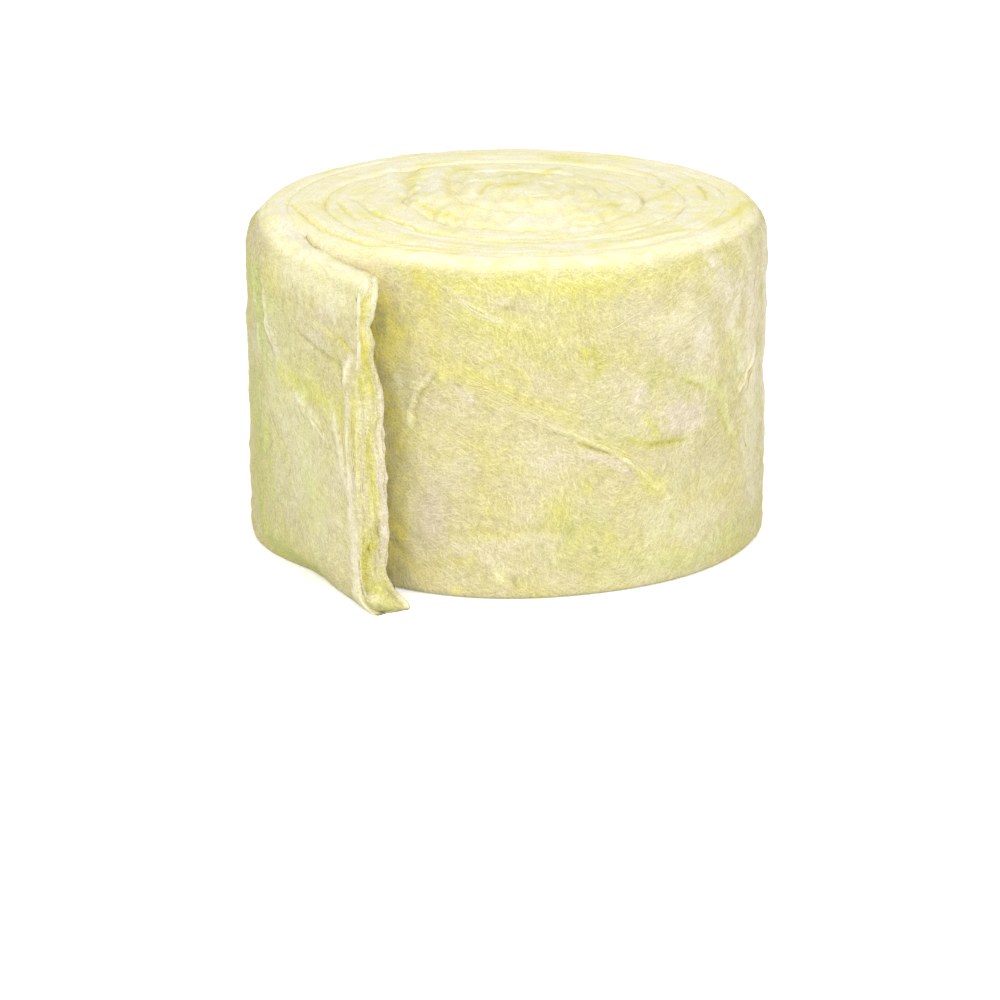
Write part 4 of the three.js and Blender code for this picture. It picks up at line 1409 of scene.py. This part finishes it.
def wool_colour():
    """Node group: the mottled cream and yellow of the wool, with its stains.

    Lightness is 0 in the depth between fibres, which takes painted shade, 1 on a pale fibre, and
    more on the palest. Layer is 0 in the yellow layers that the cut and torn edges of the blanket
    show, and 1 in the pale. Some of the pale, blush and ochre is painted light.
    """
    inputs = {"Lightness": (FLOAT, 0.5), "Layer": (FLOAT, 0.5)}
    outputs = {"Color": (COLOUR, None)}
    nodes, given, result = new_tree("wool colour", "ShaderNodeTree", inputs, outputs)
    place = nodes.add("ShaderNodeTexCoord").outputs["Object"]

    def cloud(scale, detail, low, high, roughness=0.55):
        return nodes.ramp(nodes.cloud(place, scale, detail, Roughness=roughness), low, high)

    def tinge(name, strength=TINT_STRENGTH):
        return nodes.times(nodes.known(name), strength)

    # the mottling of the wall, the top and the torn end
    colour = nodes.mix(cloud(*MOTTLE_CLOUD), YELLOW, PALE)
    colour = nodes.mix(nodes.times(cloud(*BLUSH_CLOUD), BLUSH_SHARE), colour, BLUSH)
    colour = nodes.mix(nodes.times(cloud(*GREEN_CLOUD), GREEN_SHARE), colour, GREEN)
    layer = nodes.times(given["Layer"], CROWN_LAYERED)
    patchy = nodes.math("ADD", layer, cloud(*CROWN_CLOUD))
    crown = nodes.mix(nodes.ramp(patchy, *CROWN_RANGE), CROWN_YELLOW, CROWN)
    # the pale crown where the skin faces up: partly the cut edge's own layers, partly painted light
    colour = nodes.mix(tinge("top", 1.0), colour, crown)
    sheet = nodes.mix(nodes.ramp(given["Layer"], *SHEET_RANGE), LEMON, CROWN)
    colour = nodes.mix(tinge("torn", TORN_SHARE), colour, sheet)
    for name, tint_colour in STAINS_AND_PAINTED_LIGHT.items():
        colour = nodes.mix(tinge(name), colour, tint_colour)

    # pale fibres, and painted shade in the depth between fibres, which ochre and pale lift as
    # painted light
    palest = nodes.ramp(given["Lightness"], *FLUFF_RANGE, *FLUFF_SHARES)
    colour = nodes.mix(palest, colour, FLUFF)
    lightness_with_fill_light = nodes.math("ADD", given["Lightness"], tinge("ochre", OCHRE_FILL_LIGHT))
    lightness_with_fill_light = nodes.math("ADD", lightness_with_fill_light, tinge("pale", PALE_FILL_LIGHT))
    shade_between_fibres = nodes.mix(nodes.ramp(lightness_with_fill_light, *DEPTH_SHADE_RANGE), DEPTH_SHADE, WHITE)
    colour = nodes.mix(1.0, colour, shade_between_fibres, "MULTIPLY")

    # the shade of folds, and fine specks
    shaded = nodes.mix(1.0, colour, SHADE, "MULTIPLY")
    colour = nodes.mix(tinge("shade", 1.0), colour, shaded)
    coarse = nodes.math("ADD", tinge("ochre", OCHRE_GRAIN), tinge("torn", TORN_GRAIN))
    grain = nodes.times(cloud(*GRAIN_CLOUD), nodes.math("ADD", coarse, GRAIN))
    speck = nodes.math("SUBTRACT", 1.0, grain)
    nodes.feed(result["Color"], nodes.vector("SCALE", colour, speck))
    return nodes.tree


# Four lots of fibres cross, each turned by its own angle; those along the sweep stand out. On
# the cut edge they give way to thin layers that run along the strip.
FIBRE_TURNS = (0.2, 0.98, 1.77, 2.55)
FIBRE_STRETCH = 4.5
FIBRE_NOISE = {"Detail": 2.0, "Distortion": 0.3}
FIBRE_RANGE = (0.42, 0.74)
ASTRAY, SWEPT = 0.88, 1.03
THIN_LAYER_STRETCH = (0.05, 1, 1)
THIN_LAYER_RANGE = (0.25, 0.75)

# The layers along a cut edge and up a torn one, as (stretch, scale).
CUT_EDGE = ((0.1, 1, 1), 120.0)
TORN_EDGE = ((1, 0.09, 1), 230.0)
EDGE_DISTORTION = 0.7
EDGE_RANGE = (0.28, 0.72)
LAYER_DETAIL = 3.0


def crossing_fibres():
    """Node group: fine fibres that cross at all angles, most of them along Sweep, as a height."""
    inputs = {
        "Vector": (VECTOR, None),
        "Fineness": (FLOAT, 540.0),
        "Sweep": (FLOAT, 0.0),
        "Layered": (FLOAT, 0.0),
    }
    outputs = {"Height": (FLOAT, None)}
    nodes, given, result = new_tree("crossing fibres", "ShaderNodeTree", inputs, outputs)
    height = None
    for k, turn in enumerate(FIBRE_TURNS):
        laid = {"Vector": given["Vector"], "Rotation": (0, 0, turn), "Scale": (FIBRE_STRETCH, 1, 1)}
        laid = nodes.first("ShaderNodeMapping", laid, vector_type="TEXTURE")
        inputs = {"Vector": laid, "Scale": given["Fineness"], "W": float(k)} | FIBRE_NOISE
        strands = nodes.add("ShaderNodeTexNoise", inputs, noise_dimensions="4D").outputs["Fac"]
        off = nodes.math("SUBTRACT", given["Sweep"], turn)
        likeness = nodes.math("COSINE", nodes.times(off, 2.0))
        strands = nodes.times(strands, nodes.ramp(likeness, -1.0, 1.0, ASTRAY, SWEPT))
        height = strands if height is None else nodes.math("MAXIMUM", height, strands)
    stretched = {"Vector": given["Vector"], "Scale": THIN_LAYER_STRETCH}
    stretched = nodes.first("ShaderNodeMapping", stretched)
    layers = nodes.cloud(stretched, given["Fineness"], LAYER_DETAIL)
    layers = nodes.ramp(layers, *THIN_LAYER_RANGE)
    both = nodes.between(given["Layered"], nodes.ramp(height, *FIBRE_RANGE), layers)
    nodes.feed(result["Height"], both)
    return nodes.tree


def edge_layers():
    """Node group: the layers of the blanket where an edge of it is seen.

    They run along the strip on the cut edge, and up and down on the torn end.
    """
    inputs = {"Vector": (VECTOR, None), "Torn": (FLOAT, 0.0)}
    outputs = {"Layer": (FLOAT, None)}
    nodes, given, result = new_tree("edge layers", "ShaderNodeTree", inputs, outputs)

    def layers(stretch, scale):
        stretched = {"Vector": given["Vector"], "Scale": stretch}
        stretched = nodes.first("ShaderNodeMapping", stretched)
        cloud = nodes.cloud(stretched, scale, LAYER_DETAIL, Distortion=EDGE_DISTORTION)
        return nodes.ramp(cloud, *EDGE_RANGE)

    both = nodes.between(given["Torn"], layers(*CUT_EDGE), layers(*TORN_EDGE))
    nodes.feed(result["Layer"], both)
    return nodes.tree


def bare_material(name):
    """A material without nodes, and what adds them."""
    material = bpy.data.materials.new(name)
    material.use_nodes = True
    material.node_tree.nodes.clear()
    return material, Nodes(material.node_tree)


def wool_material(name, groups, fibres):
    """Matte wool; the fibres take their lightness from their own tint."""
    material, nodes = bare_material(name)
    shader = nodes.add("ShaderNodeBsdfPrincipled", {"Roughness": 0.9, "Specular IOR Level": 0.15})
    if fibres:
        ends = {"Value": nodes.known("tint"), "To Min": 0.42, "To Max": 0.74}
        seen = {"Lightness": nodes.first("ShaderNodeMapRange", ends, clamp=False)}
    else:
        unrolled = nodes.first("ShaderNodeUVMap", uv_map="unrolled")
        top = nodes.known("top")
        laid = {"Sweep": nodes.known("sweep"), "Layered": nodes.times(top, 0.4)}
        laid["Vector"] = unrolled
        fine = nodes.first("ShaderNodeGroup", laid, node_tree=groups["fibres"])
        layers = {"Vector": unrolled, "Torn": nodes.known("torn")}
        layers = nodes.first("ShaderNodeGroup", layers, node_tree=groups["layers"])
        # the painted shade between fibres is weaker on the top
        depth = nodes.ramp(top, 0.0, 1.0, 0.0, 0.4)
        seen = {"Lightness": nodes.ramp(fine, 0.0, 1.0, depth, 0.85), "Layer": layers}
        strength = nodes.ramp(top, 0.0, 1.0, 0.6, 0.25)
        bump = {"Height": fine, "Distance": MM, "Strength": strength}
        nodes.feed(shader.inputs["Normal"], nodes.first("ShaderNodeBump", bump))
    colour = nodes.first("ShaderNodeGroup", seen, node_tree=groups["colour"])
    nodes.feed(shader.inputs["Base Color"], colour)
    nodes.add("ShaderNodeOutputMaterial", {"Surface": shader.outputs[0]})
    return material


# ----------------------------------------------------------------------- making the roll

wool_mesh = as_mesh("wool_blanket", wind_skin())
refine(wool_mesh)
skin = roughen(wool_mesh)
groups = {"colour": wool_colour(), "fibres": crossing_fibres(), "layers": edge_layers()}
wool_finish = wool_material("matted wool", groups, fibres=False)
fibre_finish = wool_material("loose fibres", groups, fibres=True)
wool_mesh.materials.append(wool_finish)
blanket = put("wool_blanket", wool_mesh)

# The patches of the skin that fibres grow on. Those of the wall are ranges of bearings, and
# each laps a little over its neighbours.
WALL_PATCHES = {
    "wall_fibres_front": (-math.inf, -35),
    "wall_fibres_right": (-39, 85),
    "wall_fibres_back": (81, 203),
}
LOOSE_END_FROM = 199
CROWN_REACH = 218 * MM
WALL_ENOUGH = 0.3

above_foot = skin.foot < FACING
on_wall_above = (skin.wall > WALL_ENOUGH) & above_foot
patches = {
    name: on_wall_above & (skin.bearing > low) & (skin.bearing < high)
    for name, (low, high) in WALL_PATCHES.items()
}
patches["loose_end_fibres"] = (skin.bearing > LOOSE_END_FROM) & above_foot
patches["crown_fibres"] = (skin.top > FACING) & (skin.radius < CROWN_REACH)

# The fibres of every patch, and what is a patch's own about them.
DENSITY = "Fibres per Square Metre"
FIBRES = {DENSITY: 44000.0, "Spread": 1.6, "Finish": fibre_finish}
PATCH_FIBRES = {
    "wall_fibres_front": {"Seed": 11},
    "wall_fibres_right": {"Seed": 12},
    "wall_fibres_back": {"Seed": 13, DENSITY: 38000.0},
    "loose_end_fibres": {"Seed": 14, DENSITY: 36000.0, "Longest": 34 * MM},
    "crown_fibres": {"Seed": 15, DENSITY: 13000.0, "Longest": 26 * MM, "Lift": 0.2 * MM},
}
pressed = pressed_fibres()
grown, drawn = grown_fibres(pressed), drawn_fibres(pressed)
fibre_pieces = [
    run_tree(name, patch(wool_mesh, keep), grown, **(FIBRES | PATCH_FIBRES[name]))
    for name, keep in patches.items()
]
sheets = torn_sheets("torn_sheets")
sheets.data.materials.append(wool_finish)
wisps = draw_wisps(np.random.default_rng(5))
fibre_pieces.append(run_tree("drawn_wisps", wisps, drawn, Wool=blanket, Finish=fibre_finish))

# ------------------------------------------------------------------- floor, light, camera

LOOK_FROM = Vector((0, -3.4764, 1.1618))
LOOK_AT = Vector((-0.0161, -0.0353, 0.0309))
SENSOR_WIDTH = 36
FOCAL_LENGTH = 141.1

FLOOR_REACH = 30.0
FLOOR_GLOW = 0.25
WORLD_FRONT, WORLD_BACK = 1.0, 0.72

# The soft boxes, as (name, place, size, power), and what they face.
LAMPS = (
    ("key", (0.3, -2.7, 2.6), 1.8, 5),
    ("left fill", (-2.5, -2.3, 1.8), 1.8, 37),
    ("right fill", (2.4, -2.6, 1.8), 1.8, 36),
    ("front", (0.4, -3.4, 1.4), 1.0, 27),
)
LAMP_TARGET = Vector((0, 0, 0.15))


def seen_directly(nodes):
    """1 for what the camera sees, straight or in a gloss or through glass, and 0 for light."""
    ray = nodes.add("ShaderNodeLightPath").outputs
    direct = nodes.math("MAXIMUM", ray["Is Camera Ray"], ray["Is Glossy Ray"])
    return nodes.math("MAXIMUM", direct, ray["Is Transmission Ray"])


def lay_floor():
    """A wide pale floor that keeps the roll's shadow."""
    signs = ((-1, -1), (1, -1), (1, 1), (-1, 1))
    corners = [(x * FLOOR_REACH, y * FLOOR_REACH, 0) for x, y in signs]
    mesh = bpy.data.meshes.new("floor")
    mesh.from_pydata(corners, [], [(0, 1, 2, 3)])
    floor = put("floor", mesh)
    material, nodes = bare_material("floor")
    matte = nodes.first("ShaderNodeBsdfDiffuse", {"Color": FLOOR})
    bright = nodes.first("ShaderNodeBsdfDiffuse", {"Color": WHITE})
    glow = nodes.first("ShaderNodeEmission", {"Color": WHITE, "Strength": FLOOR_GLOW})
    seen = nodes.first("ShaderNodeAddShader", {0: bright, 1: glow})
    mixed = nodes.first("ShaderNodeMixShader", {0: seen_directly(nodes), 1: matte, 2: seen})
    nodes.add("ShaderNodeOutputMaterial", {"Surface": mixed})
    mesh.materials.append(material)


def light_world():
    """White behind the roll, and soft light from all round it, more of it from the front."""
    world = bpy.data.worlds.new("studio")
    bpy.context.scene.world = world
    world.use_nodes = True
    world.node_tree.nodes.clear()
    nodes = Nodes(world.node_tree)
    around = nodes.add("ShaderNodeTexCoord").outputs["Generated"]
    away = nodes.add("ShaderNodeSeparateXYZ", {0: around}).outputs["Y"]
    strength = nodes.ramp(away, -1.0, 1.0, WORLD_FRONT, WORLD_BACK)
    lit = nodes.first("ShaderNodeBackground", {"Color": WHITE, "Strength": strength})
    seen = nodes.first("ShaderNodeBackground", {"Color": WHITE, "Strength": 1.0})
    mixed = nodes.first("ShaderNodeMixShader", {0: seen_directly(nodes), 1: lit, 2: seen})
    nodes.add("ShaderNodeOutputWorld", {"Surface": mixed})


def aim(piece, stand, target):
    piece.location = stand
    piece.rotation_euler = (target - Vector(stand)).to_track_quat("-Z", "Y").to_euler()


lay_floor()
light_world()
for name, stand, size, power in LAMPS:
    lamp = bpy.data.lights.new(name, "AREA")
    lamp.size = size
    lamp.energy = power
    aim(put(name, lamp), stand, LAMP_TARGET)

lens = bpy.data.cameras.new("camera")
lens.sensor_width = SENSOR_WIDTH
lens.lens = FOCAL_LENGTH
camera = put("camera", lens)
aim(camera, LOOK_FROM, LOOK_AT)
bpy.context.scene.camera = camera
bpy.context.scene.view_settings.view_transform = "Standard"

for piece in (blanket, sheets, *fibre_pieces):
    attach(piece, BODY)
    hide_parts(NODE)
